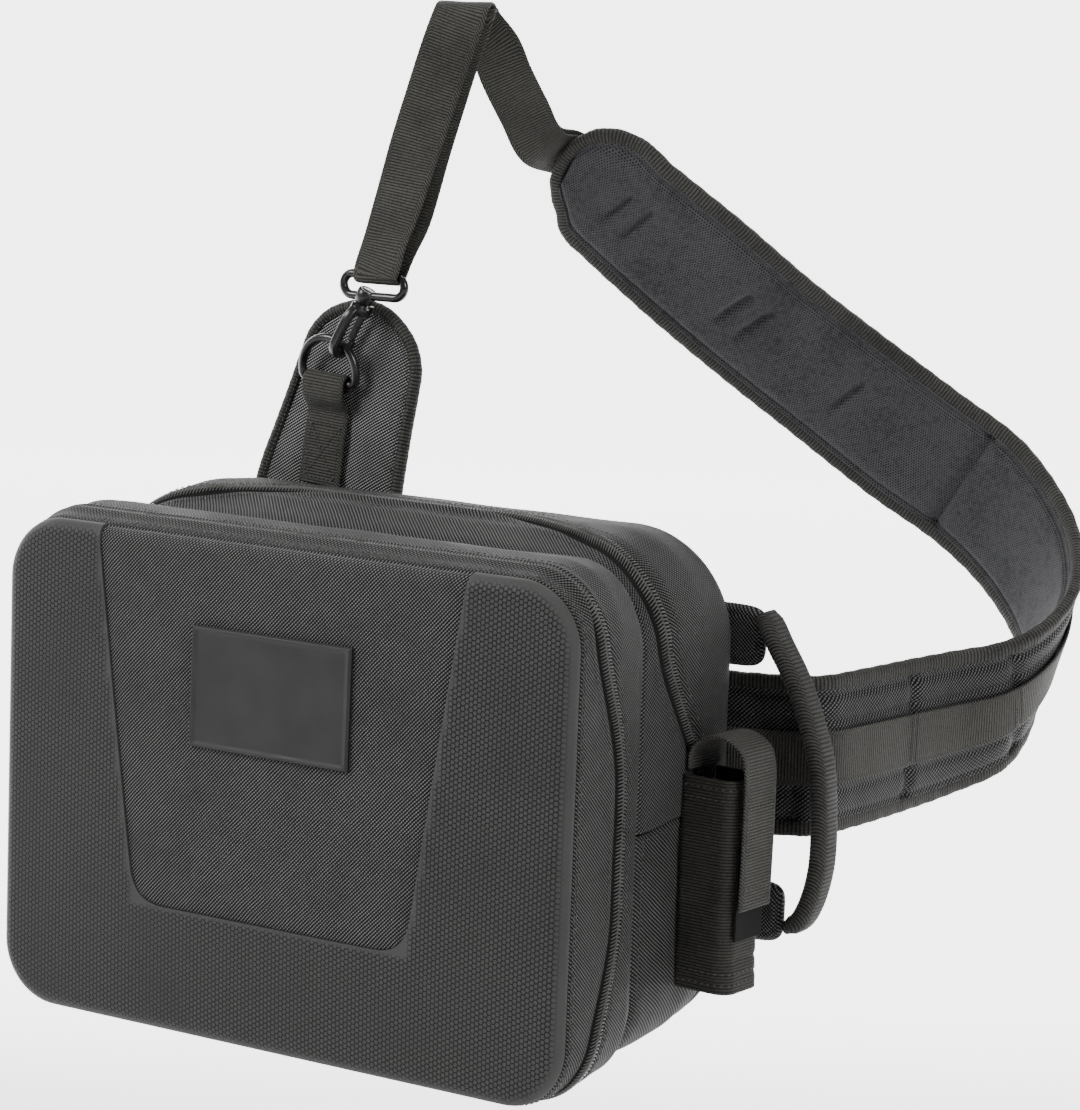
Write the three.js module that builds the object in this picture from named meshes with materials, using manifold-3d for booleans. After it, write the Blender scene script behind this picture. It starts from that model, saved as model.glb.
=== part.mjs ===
// Fishing tackle sling bag, hanging by its shoulder strap.
// Millimetres, +Z up. The bag's front faces -Y, its back +Y and its tool side +X.
// The model is laid out from the bag: X from the middle, Y from the front edge, Z from the bottom.
// At the end it is moved so that the origin is where the strap hangs.
import * as THREE from "three";
import { mergeVertices } from "three/addons/utils/BufferGeometryUtils.js";
import Module from "manifold-3d";

const wasm = await Module();
wasm.setup();

// Clearance and cloth
const gap = 0.3;
const cloth = 2;
const webThick = 1.8;

// Bag body
const bagWidth = 302;
const bagHeight = 225;
const mainRise = 11;
const bagDepth = 140;
const valleyDepth = 64;
const cornerRadius = 30;
const backStart = 124;
const backInset = 13;
const seamGap = 1.2;

// Moulded front
const shellWall = 3;
const shellDepth = 4;
const edgeRoll = 7.5;
const edgeRise = 6;
const faceDome = 2;
const panelSink = 1;
const panelTopHalf = 98;
const panelLowHalf = 73;
const panelBottom = 58;
const panelRadius = 16;
const badgeWidth = 85;
const badgeHeight = 54;
const badgeMiddle = 160.5;
const badgePlate = 2.2;
const badgeBorder = 2.4;
const badgeLip = 1;

// Zippers
const coilWidth = 8;
const coilThick = 2.6;
const coilProud = 0.7;
const frontZipMiddle = 41;
const frontZipTop = 18;
const frontZipBottom = 23;
const mainZipTop = 100;
const mainZipCorner = 76;
const mainZipEnd = 118;
const sliderWidth = 9;
const sliderLength = 13;
const sliderThick = 4;
const pullLength = 32;
const pullThick = 1.6;

// Tool holder on the right wall
const sheathDepth = 107;
const sheathWidth = 28;
const sheathReach = 27;
const sheathBottom = 38;
const sheathHeight = 95;
const sheathBend = 7;
const flapWidth = 25;
const flapRise = 18;
const flapDrop = 57;
const patchWidth = 21;
const patchHeight = 40;
const patchThick = 1.2;
const patchLow = 24;

// Side handle
const handleTop = 199;
const handleBottom = 59;
const handleReach = 45;
const handleWide = 16;
const handleThick = 9;
const anchorLength = 62;
const anchorHeight = 28;
const anchorThick = 9;
const anchorCorner = 5;
const upperAnchorOut = 0.35;
const lowerAnchorOut = 0.697;

// Shield tab behind the top edge
const shieldMiddle = -77.5;
const shieldHalf = 41.5;
const shieldHeight = 93;
const shieldHidden = 42;
const shieldThick = 5;
const shieldLean = 13.5;
const shieldTilt = 3;
const shieldSunk = 4;
const bindWidth = 6;
const bindThick = 6.5;

// D-ring and its webbing
const webWidth = 25;
const ringLean = 4.5;
const ringUp = 51;
const ringWire = 4;
const ringHalf = 15.5;
const ringHeight = 25.5;
const ringWebLow = 1;
const ringWebWidth = 23.5;
const ringWebBend = 1.2;
const ringForward = 13;
const ringMiddle = -81;
const ringShift = 1;

// Strap ring, swivel hook and gate
const strapRingWire = 4.2;
const strapRingInner = 30;
const strapRingSlot = 6;
const swivelShift = 4.5;
const bossRadius = 4.6;
const bossHeight = 6.4;
const pinRadius = 2.2;
const pinHeadRadius = 3;
const pinHeadThick = 1.2;
const neckRadius = 3.2;
const hookLean = 28;
const hookLength = 27;
const hookOnRing = 60;
const hookInner = 8.8;
const hookThick = 4.2;
const hookWide = 4.4;
const neckLength = 4;
const collarTop = 2;
const collarLow = 5;
const gateDrop = 5.6;
const earDeep = 3.6;
const earLong = 7;
const earUp = 1.2;
const gateThick = 2;
const gateWide = 3.6;
const gateEar = 1.4;

// Sling: how far the loop reaches past the bag, and how far it rises
const slingReach = 75;
const slingDepth = 210;
const slingRise = 226;
const layerGap = 2;
const layerShift = 4;
const padWidth = 72.5;
const padThick = 10;
const padBindWidth = 7;
const padBindThick = 6;
const tipWeb = 30;
const tipInset = 5;
const padStep = 20;
const loadStart = 5;
const webStep = 5.5;
const keeperLength = 9;
const keeperWall = 2;
const keeperRoom = 3;

const vec = (x, y, z) => new THREE.Vector3(x, y, z);
const rad = THREE.MathUtils.degToRad;
const lerp = THREE.MathUtils.lerp;
const smooth = (x, from, to) => THREE.MathUtils.smoothstep(x, from, to);
const rightWall = bagWidth / 2;

// Closed bodies from rings of points

// Builds a mesh from points and triangles, with its faces pointing out
function bodyFrom(points, faces) {
  let volume = 0;
  for (let i = 0; i < faces.length; i += 3) {
    const [a, b, c] = [points[faces[i]], points[faces[i + 1]], points[faces[i + 2]]];
    volume += a.dot(vec(0, 0, 0).crossVectors(b, c));
  }
  const order = volume > 0 ? faces : faces.slice().reverse();
  const geometry = new THREE.BufferGeometry();
  const places = points.flatMap((p) => p.toArray());
  geometry.setAttribute("position", new THREE.Float32BufferAttribute(places, 3));
  geometry.setIndex(order);
  return geometry;
}

// Joins rings of the same even count. Open stacks get flat ends, looped ones run round.
function ringBody(rings, looped = false) {
  const count = rings[0].length;
  const faces = [];
  const steps = looped ? rings.length : rings.length - 1;
  for (let i = 0; i < steps; i++) {
    const a = i * count;
    const b = ((i + 1) % rings.length) * count;
    for (let j = 0; j < count; j++) {
      const k = (j + 1) % count;
      faces.push(a + j, b + j, b + k, a + j, b + k, a + k);
    }
  }
  if (!looped) {
    const last = (rings.length - 1) * count;
    for (let j = 0; j < count / 2 - 1; j++) {
      const [p, q] = [count - 1 - j, count - 2 - j];
      faces.push(j, j + 1, q, j, q, p);
      faces.push(last + j, last + q, last + j + 1, last + j, last + p, last + q);
    }
  }
  return bodyFrom(rings.flat(), faces);
}

// Moves geometry in and out of the boolean library
function toSolid(geometry) {
  const bare = geometry.clone();
  bare.deleteAttribute("normal");
  bare.deleteAttribute("uv");
  const merged = mergeVertices(bare, 1e-4);
  return new wasm.Manifold(new wasm.Mesh({
    numProp: 3,
    vertProperties: new Float32Array(merged.attributes.position.array),
    triVerts: new Uint32Array(merged.index.array),
  }));
}

function fromSolid(solid) {
  const mesh = solid.getMesh();
  const geometry = new THREE.BufferGeometry();
  geometry.setAttribute("position", new THREE.BufferAttribute(mesh.vertProperties, 3));
  geometry.setIndex(new THREE.BufferAttribute(mesh.triVerts, 1));
  return geometry;
}

const cutFrom = (body, ...tools) =>
  fromSolid(tools.reduce((solid, tool) => solid.subtract(toSolid(tool)), toSolid(body)));
const joined = (...bodies) =>
  fromSolid(bodies.map(toSolid).reduce((solid, other) => solid.add(other)));

// Extrudes a shape drawn in X and Z through Y, from one depth to another
function throughDepth(shape, front, back, curveSegments = 6) {
  const settings = { depth: back - front, bevelEnabled: false, curveSegments };
  const geometry = new THREE.ExtrudeGeometry(shape, settings);
  return geometry.rotateX(Math.PI / 2).translate(0, back, 0);
}

// A rounded rectangle about the middle of a shape's plane
function roundedRect(width, height, radius, x = 0, y = 0) {
  const [w, h] = [width / 2 - radius, height / 2 - radius];
  const shape = new THREE.Shape();
  shape.absarc(x + w, y - h, radius, -Math.PI / 2, 0);
  shape.absarc(x + w, y + h, radius, 0, Math.PI / 2);
  shape.absarc(x - w, y + h, radius, Math.PI / 2, Math.PI);
  shape.absarc(x - w, y - h, radius, Math.PI, Math.PI * 1.5);
  return shape;
}

// A flat strip or a round bar carried along a route. Each row has a point and the way its width lies.
function carried(route, section, looped = false) {
  const rings = route.map((row, i) => {
    const before = route[looped ? (i + route.length - 1) % route.length : Math.max(i - 1, 0)].at;
    const after = route[looped ? (i + 1) % route.length : Math.min(i + 1, route.length - 1)].at;
    const along = after.clone().sub(before).normalize();
    const wide = row.wide.clone().addScaledVector(along, -row.wide.dot(along)).normalize();
    const out = vec(0, 0, 0).crossVectors(wide, along);
    return section(row).map(([w, n]) => row.at.clone().addScaledVector(wide, w).addScaledVector(out, n));
  });
  return ringBody(rings, looped);
}

const flatSection = (width, thick) => () => [
  [width / 2, thick / 2], [width / 2, -thick / 2], [-width / 2, -thick / 2], [-width / 2, thick / 2],
];

const ovalSection = (width, thick, sides) => () => Array.from({ length: sides }, (_, i) => {
  const turn = (i + 0.5) / sides * Math.PI * 2;
  return [Math.cos(turn) * width / 2, Math.sin(turn) * thick / 2];
});

// The bag's outline at any depth

// Each row: depth as a share of the bag's depth; half as a share of half the width; low and high
// as shares of the front's height; rise as a share of the main compartment's rise over it;
// lowTurn and highTurn as shares of the corner radius
const bodySections = [
  { depth: 0.00, half: 1.000, low: 0.000, high: 1.000, rise: 0.00, lowTurn: 0.95, highTurn: 0.95 },
  { depth: 0.10, half: 1.003, low: -0.002, high: 1.012, rise: 0.00, lowTurn: 0.97, highTurn: 1.00 },
  { depth: 0.25, half: 1.006, low: -0.003, high: 1.028, rise: 0.00, lowTurn: 1.00, highTurn: 1.05 },
  { depth: 0.38, half: 1.000, low: 0.003, high: 1.016, rise: 0.00, lowTurn: 1.02, highTurn: 1.10 },
  { depth: 0.457, half: 0.972, low: 0.020, high: 0.988, rise: 0.00, lowTurn: 1.05, highTurn: 1.15 },
  { depth: 0.52, half: 0.984, low: 0.018, high: 0.992, rise: 0.40, lowTurn: 1.10, highTurn: 1.30 },
  { depth: 0.62, half: 0.997, low: 0.018, high: 1.000, rise: 0.80, lowTurn: 1.20, highTurn: 1.42 },
  { depth: 0.76, half: 1.010, low: 0.024, high: 1.003, rise: 1.00, lowTurn: 1.25, highTurn: 1.50 },
  { depth: 0.89, half: 1.016, low: 0.040, high: 1.000, rise: 0.95, lowTurn: 1.30, highTurn: 1.68 },
  { depth: 1.00, half: 1.010, low: 0.050, high: 0.995, rise: 0.85, lowTurn: 1.30, highTurn: 1.75 },
];

// Where each outline station lies, from the bottom middle (0) to the top middle (1)
const bottomEnd = 0.2;
const wallStart = 0.3;
const wallEnd = 0.7;
const topStart = 0.8;
const sideSeam = 0.492;
const coilEnd = 0.195;
const stationsUp = [
  0, 0.1, 0.19, 0.2, 0.225, 0.25, 0.275, 0.3, 0.37, 0.43, sideSeam, 0.56, 0.63, 0.7,
  0.725, 0.75, 0.775, 0.8, 0.86, 0.93, 1,
];

// The outline at a depth, drawn in by an inset
function sectionAt(depth, inset = 0) {
  const share = Math.min(depth / bagDepth, 1);
  const next = Math.max(bodySections.findIndex((row) => row.depth >= share), 1);
  const [a, b] = [bodySections[next - 1], bodySections[next]];
  const t = (share - a.depth) / (b.depth - a.depth);
  const at = (key) => lerp(a[key], b[key], t);
  const turn = (key) => Math.max(at(key) * cornerRadius - inset, cornerRadius * 0.3);
  return {
    half: at("half") * bagWidth / 2 - inset,
    low: at("low") * bagHeight + inset,
    high: at("high") * bagHeight + at("rise") * mainRise - inset,
    lowTurn: turn("lowTurn"),
    highTurn: turn("highTurn"),
  };
}

// A point of the outline at a station. Negative stations lie on the left.
function outlinePoint(section, station, depth) {
  const { half, low, high, lowTurn, highTurn } = section;
  const side = Math.sign(station) || 1;
  const s = Math.abs(station);
  if (s <= bottomEnd) return vec(side * (half - lowTurn) * s / bottomEnd, depth, low);
  if (s >= topStart) return vec(side * (half - highTurn) * (1 - s) / (1 - topStart), depth, high);
  if (s < wallStart) {
    const turn = (s - bottomEnd) / (wallStart - bottomEnd) * Math.PI / 2;
    const [x, z] = [half - lowTurn * (1 - Math.sin(turn)), low + lowTurn * (1 - Math.cos(turn))];
    return vec(side * x, depth, z);
  }
  if (s > wallEnd) {
    const turn = (s - wallEnd) / (topStart - wallEnd) * Math.PI / 2;
    const [x, z] = [half - highTurn * (1 - Math.cos(turn)), high - highTurn * (1 - Math.sin(turn))];
    return vec(side * x, depth, z);
  }
  const share = (s - wallStart) / (wallEnd - wallStart);
  return vec(side * half, depth, lerp(low + lowTurn, high - highTurn, share));
}

const allStations = [...stationsUp, ...stationsUp.slice(1, -1).reverse().map((s) => -s)];

// How far back each zipper's middle lies at a station
function frontZip(station) {
  const s = Math.abs(station);
  const wall = lerp(frontZipBottom, frontZipMiddle, smooth(s, 0.24, 0.42));
  return lerp(wall, frontZipTop, smooth(s, 0.54, 0.75));
}

function mainZip(station) {
  const s = Math.abs(station);
  const corner = lerp(mainZipEnd, mainZipCorner, smooth(s, 0.45, 0.74));
  return lerp(corner, mainZipTop, smooth(s, 0.74, 0.9));
}

const frontCoilHalf = (station) => Math.abs(station) > coilEnd ? coilWidth / 2 : -gap / 2;

// A cloth wall round part of the outline, between two depths that may change with the station
function wallBand(stations, front, back, wall, steps, looped, proud = 0) {
  const rings = stations.map((station) => {
    const share = (i) => lerp(front(station), back(station), i / steps);
    const depths = Array.from({ length: steps + 1 }, (_, i) => share(i));
    const outer = depths.map((d) => outlinePoint(sectionAt(d, -proud), station, d));
    const inner = depths.map((d) => outlinePoint(sectionAt(d, wall - proud), station, d));
    return [...outer, ...inner.reverse()];
  });
  return ringBody(rings, looped);
}

// Moulded front

// How far back the front face lies at a point that is an inset in from the outline
function faceDepth(x, z, inset) {
  const roll = Math.sqrt(1 - (1 - Math.min(inset / edgeRoll, 1)) ** 2);
  const [across, up] = [x / (bagWidth / 2), (z - bagHeight / 2) / (bagHeight / 2)];
  return shellDepth - edgeRise * roll - faceDome * (1 - across ** 2) * (1 - up ** 2);
}

const faceInsets = [0, 0.06, 0.25, 0.6, 1].map((share) => share * edgeRoll);
const faceSteps = [0.3, 0.55, 0.8].map((share) => share * bagHeight / 2);

function frontTray(sink) {
  const ringAt = (inset, drop) => allStations.map((station) => {
    const p = outlinePoint(sectionAt(shellDepth, inset + drop), station, 0);
    p.y = Math.min(faceDepth(p.x, p.z, inset) + drop, shellDepth - gap);
    return p;
  });
  const insets = [...faceInsets, ...faceSteps];
  const outer = insets.map((inset) => ringAt(inset, sink));
  const inner = insets.map((inset) => ringAt(inset, shellWall));
  return ringBody([...outer.reverse(), ...inner]);
}

// The opening for the fabric panel, drawn in or out by a margin
function panelOpening(margin) {
  const above = bagHeight * 1.2;
  const slope = (panelTopHalf - panelLowHalf) / (bagHeight - panelBottom);
  const low = panelBottom - margin;
  const halfAt = (z) => panelLowHalf + slope * (z - panelBottom) + margin;
  const radius = panelRadius + margin;
  const shape = new THREE.Shape();
  shape.moveTo(-halfAt(above), above);
  shape.lineTo(-halfAt(low + radius), low + radius);
  shape.quadraticCurveTo(-halfAt(low), low, -halfAt(low) + radius, low);
  shape.lineTo(halfAt(low) - radius, low);
  shape.quadraticCurveTo(halfAt(low), low, halfAt(low + radius), low + radius);
  shape.lineTo(halfAt(above), above);
  shape.closePath();
  return throughDepth(shape, -bagDepth / 2, bagDepth / 2);
}

const frontShell = () => cutFrom(frontTray(0), panelOpening(gap));
const centrePanel = () => fromSolid(toSolid(frontTray(panelSink)).intersect(toSolid(panelOpening(0))));

// The badge follows the panel, with a raised border
function badge() {
  const border = badgeBorder;
  const [w, h] = [badgeWidth / 2, badgeHeight / 2];
  const steps = (half) => [-half, -half + border, -half + border * 1.2, -half / 3, half / 3,
    half - border * 1.2, half - border, half];
  const point = (x, z, out) => {
    const inset = Math.min(bagWidth / 2 - Math.abs(x), z, bagHeight - z);
    return vec(x, faceDepth(x, z, inset) + panelSink - gap - out, z);
  };
  const front = (x, z) => {
    const raised = Math.abs(x) > w - border * 1.1 || Math.abs(z - badgeMiddle) > h - border * 1.1;
    return point(x, z, badgePlate + (raised ? badgeLip : 0));
  };
  const rings = steps(w).map((x) => [
    ...steps(h).map((z) => front(x, badgeMiddle + z)),
    ...steps(h).reverse().map((z) => point(x, badgeMiddle + z, 0)),
  ]);
  return ringBody(rings);
}

// Front compartment walls and zipper

const frontGusset = () => wallBand(allStations, () => shellDepth,
  (s) => frontZip(s) - frontCoilHalf(s) - gap, cloth, 3, true);
const valleyGusset = () => wallBand(allStations, (s) => frontZip(s) + frontCoilHalf(s) + gap,
  () => valleyDepth - gap / 2, cloth, 4, true);
const coilStations = allStations.filter((s) => Math.abs(s) > coilEnd);
const frontZipper = () => wallBand(coilStations, (s) => frontZip(s) - coilWidth / 2,
  (s) => frontZip(s) + coilWidth / 2, coilThick, 1, false, coilProud);

function divider() {
  const ring = (depth) => allStations.map((s) =>
    outlinePoint(sectionAt(valleyDepth, cloth + gap * 3), s, depth));
  return ringBody([ring(valleyDepth - cloth / 2), ring(valleyDepth + cloth / 2)]);
}

// Main compartment

// The level side seam, with the hood and the zipper above it and the lower panel below it
const seamShift = seamGap / (bagHeight - cornerRadius * 2) * (wallEnd - wallStart);
const aboveSeam = (s) => Math.abs(s) === sideSeam ? s + Math.sign(s) * seamShift : s;
const upperStations = allStations.filter((s) => Math.abs(s) >= sideSeam).map(aboveSeam);
const lowerStations = allStations.filter((s) => Math.abs(s) <= sideSeam);
const lowerInOrder = [...lowerStations.filter((s) => s < 0), ...lowerStations.filter((s) => s >= 0)];
const coilBack = coilWidth / 2 + gap;
const rimDepth = (s) => lerp(
  backStart - gap * 3, mainZip(s) + coilBack, smooth(Math.abs(s), sideSeam - 0.02, sideSeam));

const hoodPanel = () => wallBand(upperStations,
  () => valleyDepth + gap / 2, (s) => mainZip(s) - coilBack, cloth, 4, false);
const mainZipper = () => wallBand(upperStations,
  (s) => mainZip(s) - coilWidth / 2, (s) => mainZip(s) + coilWidth / 2, coilThick, 1, false, coilProud);
const lowerPanel = () => wallBand(lowerInOrder,
  () => valleyDepth + gap / 2, (s) => rimDepth(s) - gap, cloth, 4, false);

// The back panel with its rolled edge, open to the front
function backShell() {
  const roll = bagDepth - backStart;
  const wallRing = (share, inset) => allStations.map((s) => {
    const d = lerp(rimDepth(s), backStart, share);
    return outlinePoint(sectionAt(d, inset), s, d);
  });
  const rollRing = (turn, inset) => allStations.map((s) => outlinePoint(
    sectionAt(backStart, inset + (backInset - inset) * (1 - Math.cos(turn))), s,
    backStart + (roll - inset) * Math.sin(turn)));
  const faceRing = (share, inset) => allStations.map((s) => outlinePoint(
    sectionAt(backStart, backInset + share * bagHeight / 2), s, bagDepth - inset));
  const turns = [0.25, 0.5, 0.75, 1].map((t) => t * Math.PI / 2);
  const skin = (inset) => [
    ...[0, 0.5, 1].map((share) => wallRing(share, inset)),
    ...turns.map((turn) => rollRing(turn, inset)),
    ...[0.35, 0.7].map((share) => faceRing(share, inset)),
  ];
  return ringBody([...skin(0).reverse(), ...skin(cloth)]);
}

// A zipper's slider and its hanging pull in one piece, on the left wall
function zipSlider(depth, station) {
  const at = outlinePoint(sectionAt(depth, -coilProud - gap * 3), -station, depth);
  const shape = new THREE.Shape();
  const low = -sliderLength / 2 - pullLength;
  shape.moveTo(0, sliderLength / 2);
  shape.lineTo(-sliderThick, sliderLength / 2);
  shape.lineTo(-sliderThick, low);
  shape.lineTo(-sliderThick + pullThick, low);
  shape.lineTo(-sliderThick + pullThick, -sliderLength / 2);
  shape.lineTo(0, -sliderLength / 2);
  shape.closePath();
  return throughDepth(shape, -sliderWidth / 2, sliderWidth / 2).translate(at.x, depth, at.z);
}

// Tool holder

const wallAt = (side) => sectionAt(sheathDepth + side * sheathWidth / 2).half;
const wallTurn = Math.atan2(wallAt(1) - wallAt(-1), sheathWidth);
const wallFace = wallAt(0) + gap * 2;

function toolSheath() {
  const [reach, half, wall] = [sheathReach, sheathWidth / 2, webThick];
  const bend = sheathBend;
  const shape = new THREE.Shape();
  shape.moveTo(0, -half);
  shape.lineTo(reach - bend, -half);
  shape.absarc(reach - bend, -half + bend, bend, -Math.PI / 2, 0);
  shape.absarc(reach - bend, half - bend, bend, 0, Math.PI / 2);
  shape.lineTo(0, half);
  shape.lineTo(0, half - wall);
  shape.lineTo(reach - bend, half - wall);
  shape.absarc(reach - bend, half - bend, bend - wall, Math.PI / 2, 0, true);
  shape.absarc(reach - bend, -half + bend, bend - wall, 0, -Math.PI / 2, true);
  shape.lineTo(0, -half + wall);
  shape.closePath();
  const settings = { depth: sheathHeight, bevelEnabled: false, curveSegments: 4 };
  return new THREE.ExtrudeGeometry(shape, settings);
}

const toolPatch = () => new THREE.BoxGeometry(patchThick, patchWidth, patchHeight)
  .translate(sheathReach + gap + patchThick / 2, 0, patchLow + patchHeight / 2);

// The flap rises from the wall, arches over the sheath's mouth and hangs down its outer face
function toolFlap() {
  const top = sheathHeight + flapRise;
  const out = sheathReach + gap * 2 + patchThick + webThick;
  const route = [
    { out: webThick, up: sheathHeight + 2 },
    { out: webThick, up: top - 9 },
    { out: 4.5, up: top - 4 },
    { out: 10, up: top - 1 },
    { out: 17, up: top },
    { out: out - 7, up: top - 2 },
    { out: out - 2, up: top - 6 },
    { out, up: top - 13 },
    { out: out + 0.5, up: sheathHeight - flapDrop / 2 },
    { out, up: sheathHeight - flapDrop },
  ].map((row) => ({ at: vec(row.out, 0, row.up), wide: vec(0, 1, 0) }));
  return carried(route, flatSection(flapWidth, webThick));
}

// Side handle

// How far the handle stands off the wall at a share of its height
const handleRows = [
  { up: 0.97, out: 0.34 }, { up: 0.90, out: 0.49 }, { up: 0.82, out: 0.64 },
  { up: 0.73, out: 0.76 }, { up: 0.64, out: 0.85 }, { up: 0.55, out: 0.93 }, { up: 0.46, out: 0.97 },
  { up: 0.37, out: 0.99 }, { up: 0.28, out: 1.00 }, { up: 0.19, out: 0.98 }, { up: 0.09, out: 0.90 },
  { up: 0.03, out: 0.80 }, { up: 0.00, out: 0.66 },
];
const handlePlane = bagDepth + gap + anchorThick / 2;

function handle() {
  const route = handleRows.map((row) => ({
    at: vec(rightWall + row.out * handleReach, handlePlane, lerp(handleBottom, handleTop, row.up)),
    wide: vec(0, 1, 0),
  }));
  return carried(route, ovalSection(handleWide, handleThick, 8));
}

function handleAnchor(height, out) {
  const end = rightWall + handleReach * out - handleThick / 2;
  const shape = roundedRect(anchorLength, anchorHeight, anchorCorner, end - anchorLength / 2, height);
  return throughDepth(shape, bagDepth + gap, bagDepth + gap + anchorThick, 3);
}

// Shield tab, in its own plane: X across, Z up from the bag's top edge, Y back

// Each row: height as a share of the shield's height, half width as a share of its half width
const shieldRows = [
  { up: 0.00, half: 1.00 }, { up: 0.22, half: 0.94 }, { up: 0.44, half: 0.88 }, { up: 0.66, half: 0.83 },
  { up: 0.77, half: 0.79 }, { up: 0.88, half: 0.64 }, { up: 0.96, half: 0.39 }, { up: 1.00, half: 0.14 },
];

function shieldOutline(inset) {
  const top = shieldHeight - inset;
  const right = shieldRows.map((row) => [row.half * (shieldHalf - inset), row.up * top]);
  const left = right.map(([x, z]) => [-x, z]).reverse();
  const base = [[-shieldHalf + inset, -shieldHidden], [shieldHalf - inset, -shieldHidden]];
  return [...base, ...right, ...left];
}

function shieldTab() {
  const shape = new THREE.Shape(shieldOutline(bindWidth + gap).map(([x, z]) => new THREE.Vector2(x, z)));
  return throughDepth(shape, 0, shieldThick).translate(0, 0, shieldHidden);
}

function shieldBinding() {
  const [outer, inner] = [shieldOutline(0).slice(1), shieldOutline(bindWidth).slice(1)];
  const [front, back] = [(shieldThick - bindThick) / 2, (shieldThick + bindThick) / 2];
  const closeBase = (outline) => [...outline, [outline.at(-1)[0], -shieldHidden]];
  const [o, i] = [closeBase(outer), closeBase(inner)];
  return ringBody(o.map(([x, z], n) => [
    vec(x, front, z), vec(x, back, z), vec(i[n][0], back, i[n][1]), vec(i[n][0], front, i[n][1]),
  ])).translate(0, 0, shieldHidden);
}

// Ring webbing: a strip up the shield, round the ring's bar and back behind itself
const barDepth = -(ringWire / 2 + gap * 3 + webThick);

function ringWebbing() {
  const turn = ringWire / 2 + gap * 2 + webThick / 2;
  const front = (z) => ({ at: vec(0, barDepth - turn, z), wide: vec(1, 0, 0) });
  const route = [
    { at: vec(0, -gap - webThick / 2, ringWebLow), wide: vec(1, 0, 0) },
    { at: vec(0, -gap - webThick / 2, ringUp - 14), wide: vec(1, 0, 0) },
    { at: vec(0, barDepth - turn + ringWebBend, ringUp - 8), wide: vec(1, 0, 0) },
    front(ringUp - 3),
  ];
  for (let i = 0; i <= 6; i++) {
    const a = i / 6 * Math.PI;
    route.push({
      at: vec(0, barDepth - turn * Math.cos(a), ringUp + turn * Math.sin(a)),
      wide: vec(1, 0, 0),
    });
  }
  route.push({ at: vec(0, barDepth + turn, ringUp - 4), wide: vec(1, 0, 0) });
  return carried(route, flatSection(ringWebWidth, webThick)).translate(0, 0, shieldHidden);
}

// The D-ring: a straight bar and a bow, about the bar's middle
const bowFoot = 5.5;
const bowPoint = (turn) => vec(ringHalf * Math.cos(rad(turn)), 0,
  bowFoot + (ringHeight - ringWire - bowFoot) * Math.sin(rad(turn)));

function dRing() {
  const corner = ringWire * 0.8;
  const straight = ringHalf - corner;
  const foot = (side, turn) => vec(
    side * (straight + corner * Math.sin(rad(turn))), 0, corner - corner * Math.cos(rad(turn)));
  const points = [-0.8, 0, 0.8].map((share) => vec(share * straight, 0, 0));
  points.push(foot(1, 22), foot(1, 60));
  for (let turn = 0; turn <= 180; turn += 18) points.push(bowPoint(turn));
  points.push(foot(-1, 60), foot(-1, 22));
  const route = points.map((at) => ({ at, wide: vec(0, 1, 0) }));
  return carried(route, ovalSection(ringWire, ringWire, 8), true);
}

// Where the shield, the D-ring and the hook lie

const shield = new THREE.Group();
const shieldFoot = bagHeight + mainRise - shieldSunk - shieldHidden;
const shieldDepth = bagDepth + gap * 3 + (bindThick - shieldThick) / 2;
shield.position.set(shieldMiddle - shieldHidden * Math.sin(rad(shieldLean)), shieldDepth, shieldFoot);
shield.rotation.set(-rad(shieldTilt), rad(shieldLean), 0, "XYZ");

const ringPlace = new THREE.Group();
ringPlace.position.set(ringMiddle - shieldHidden * Math.sin(rad(ringLean)), shieldDepth, shieldFoot);
ringPlace.rotation.set(-rad(shieldTilt), rad(ringLean), 0, "XYZ");

const bowPlace = new THREE.Group();
bowPlace.position.set(ringShift, barDepth, ringUp + shieldHidden);
bowPlace.rotation.x = rad(ringForward);
ringPlace.add(bowPlace);
ringPlace.updateMatrixWorld(true);

const hookAlong = vec(Math.sin(rad(hookLean)), 0, Math.cos(rad(hookLean)));
const hookSeat = bowPlace.localToWorld(bowPoint(hookOnRing));
const bossMiddle = hookSeat.clone().addScaledVector(hookAlong, hookLength);
const barApart = strapRingSlot + strapRingWire;
const strapRingMiddle = bossMiddle.clone().add(vec(swivelShift, 0, barApart / 2));
const highBar = strapRingMiddle.clone().add(vec(0, 0, barApart / 2));

// Places what is drawn along the hook's own axis: Z up along the pin, Y back, from the boss's middle
const hookPlaced = (geometry) => geometry.rotateY(rad(hookLean)).translate(...bossMiddle);

// A cylinder along Z between two heights
const upright = (radius, low, high, lowRadius = radius) =>
  new THREE.CylinderGeometry(radius, lowRadius, high - low, 24)
    .rotateX(Math.PI / 2).translate(0, 0, (low + high) / 2);

// The ring that the webbing is sewn round, with a bored boss for the hook's pin
const headSeat = bossHeight / 2 - pinHeadThick - gap;

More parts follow.
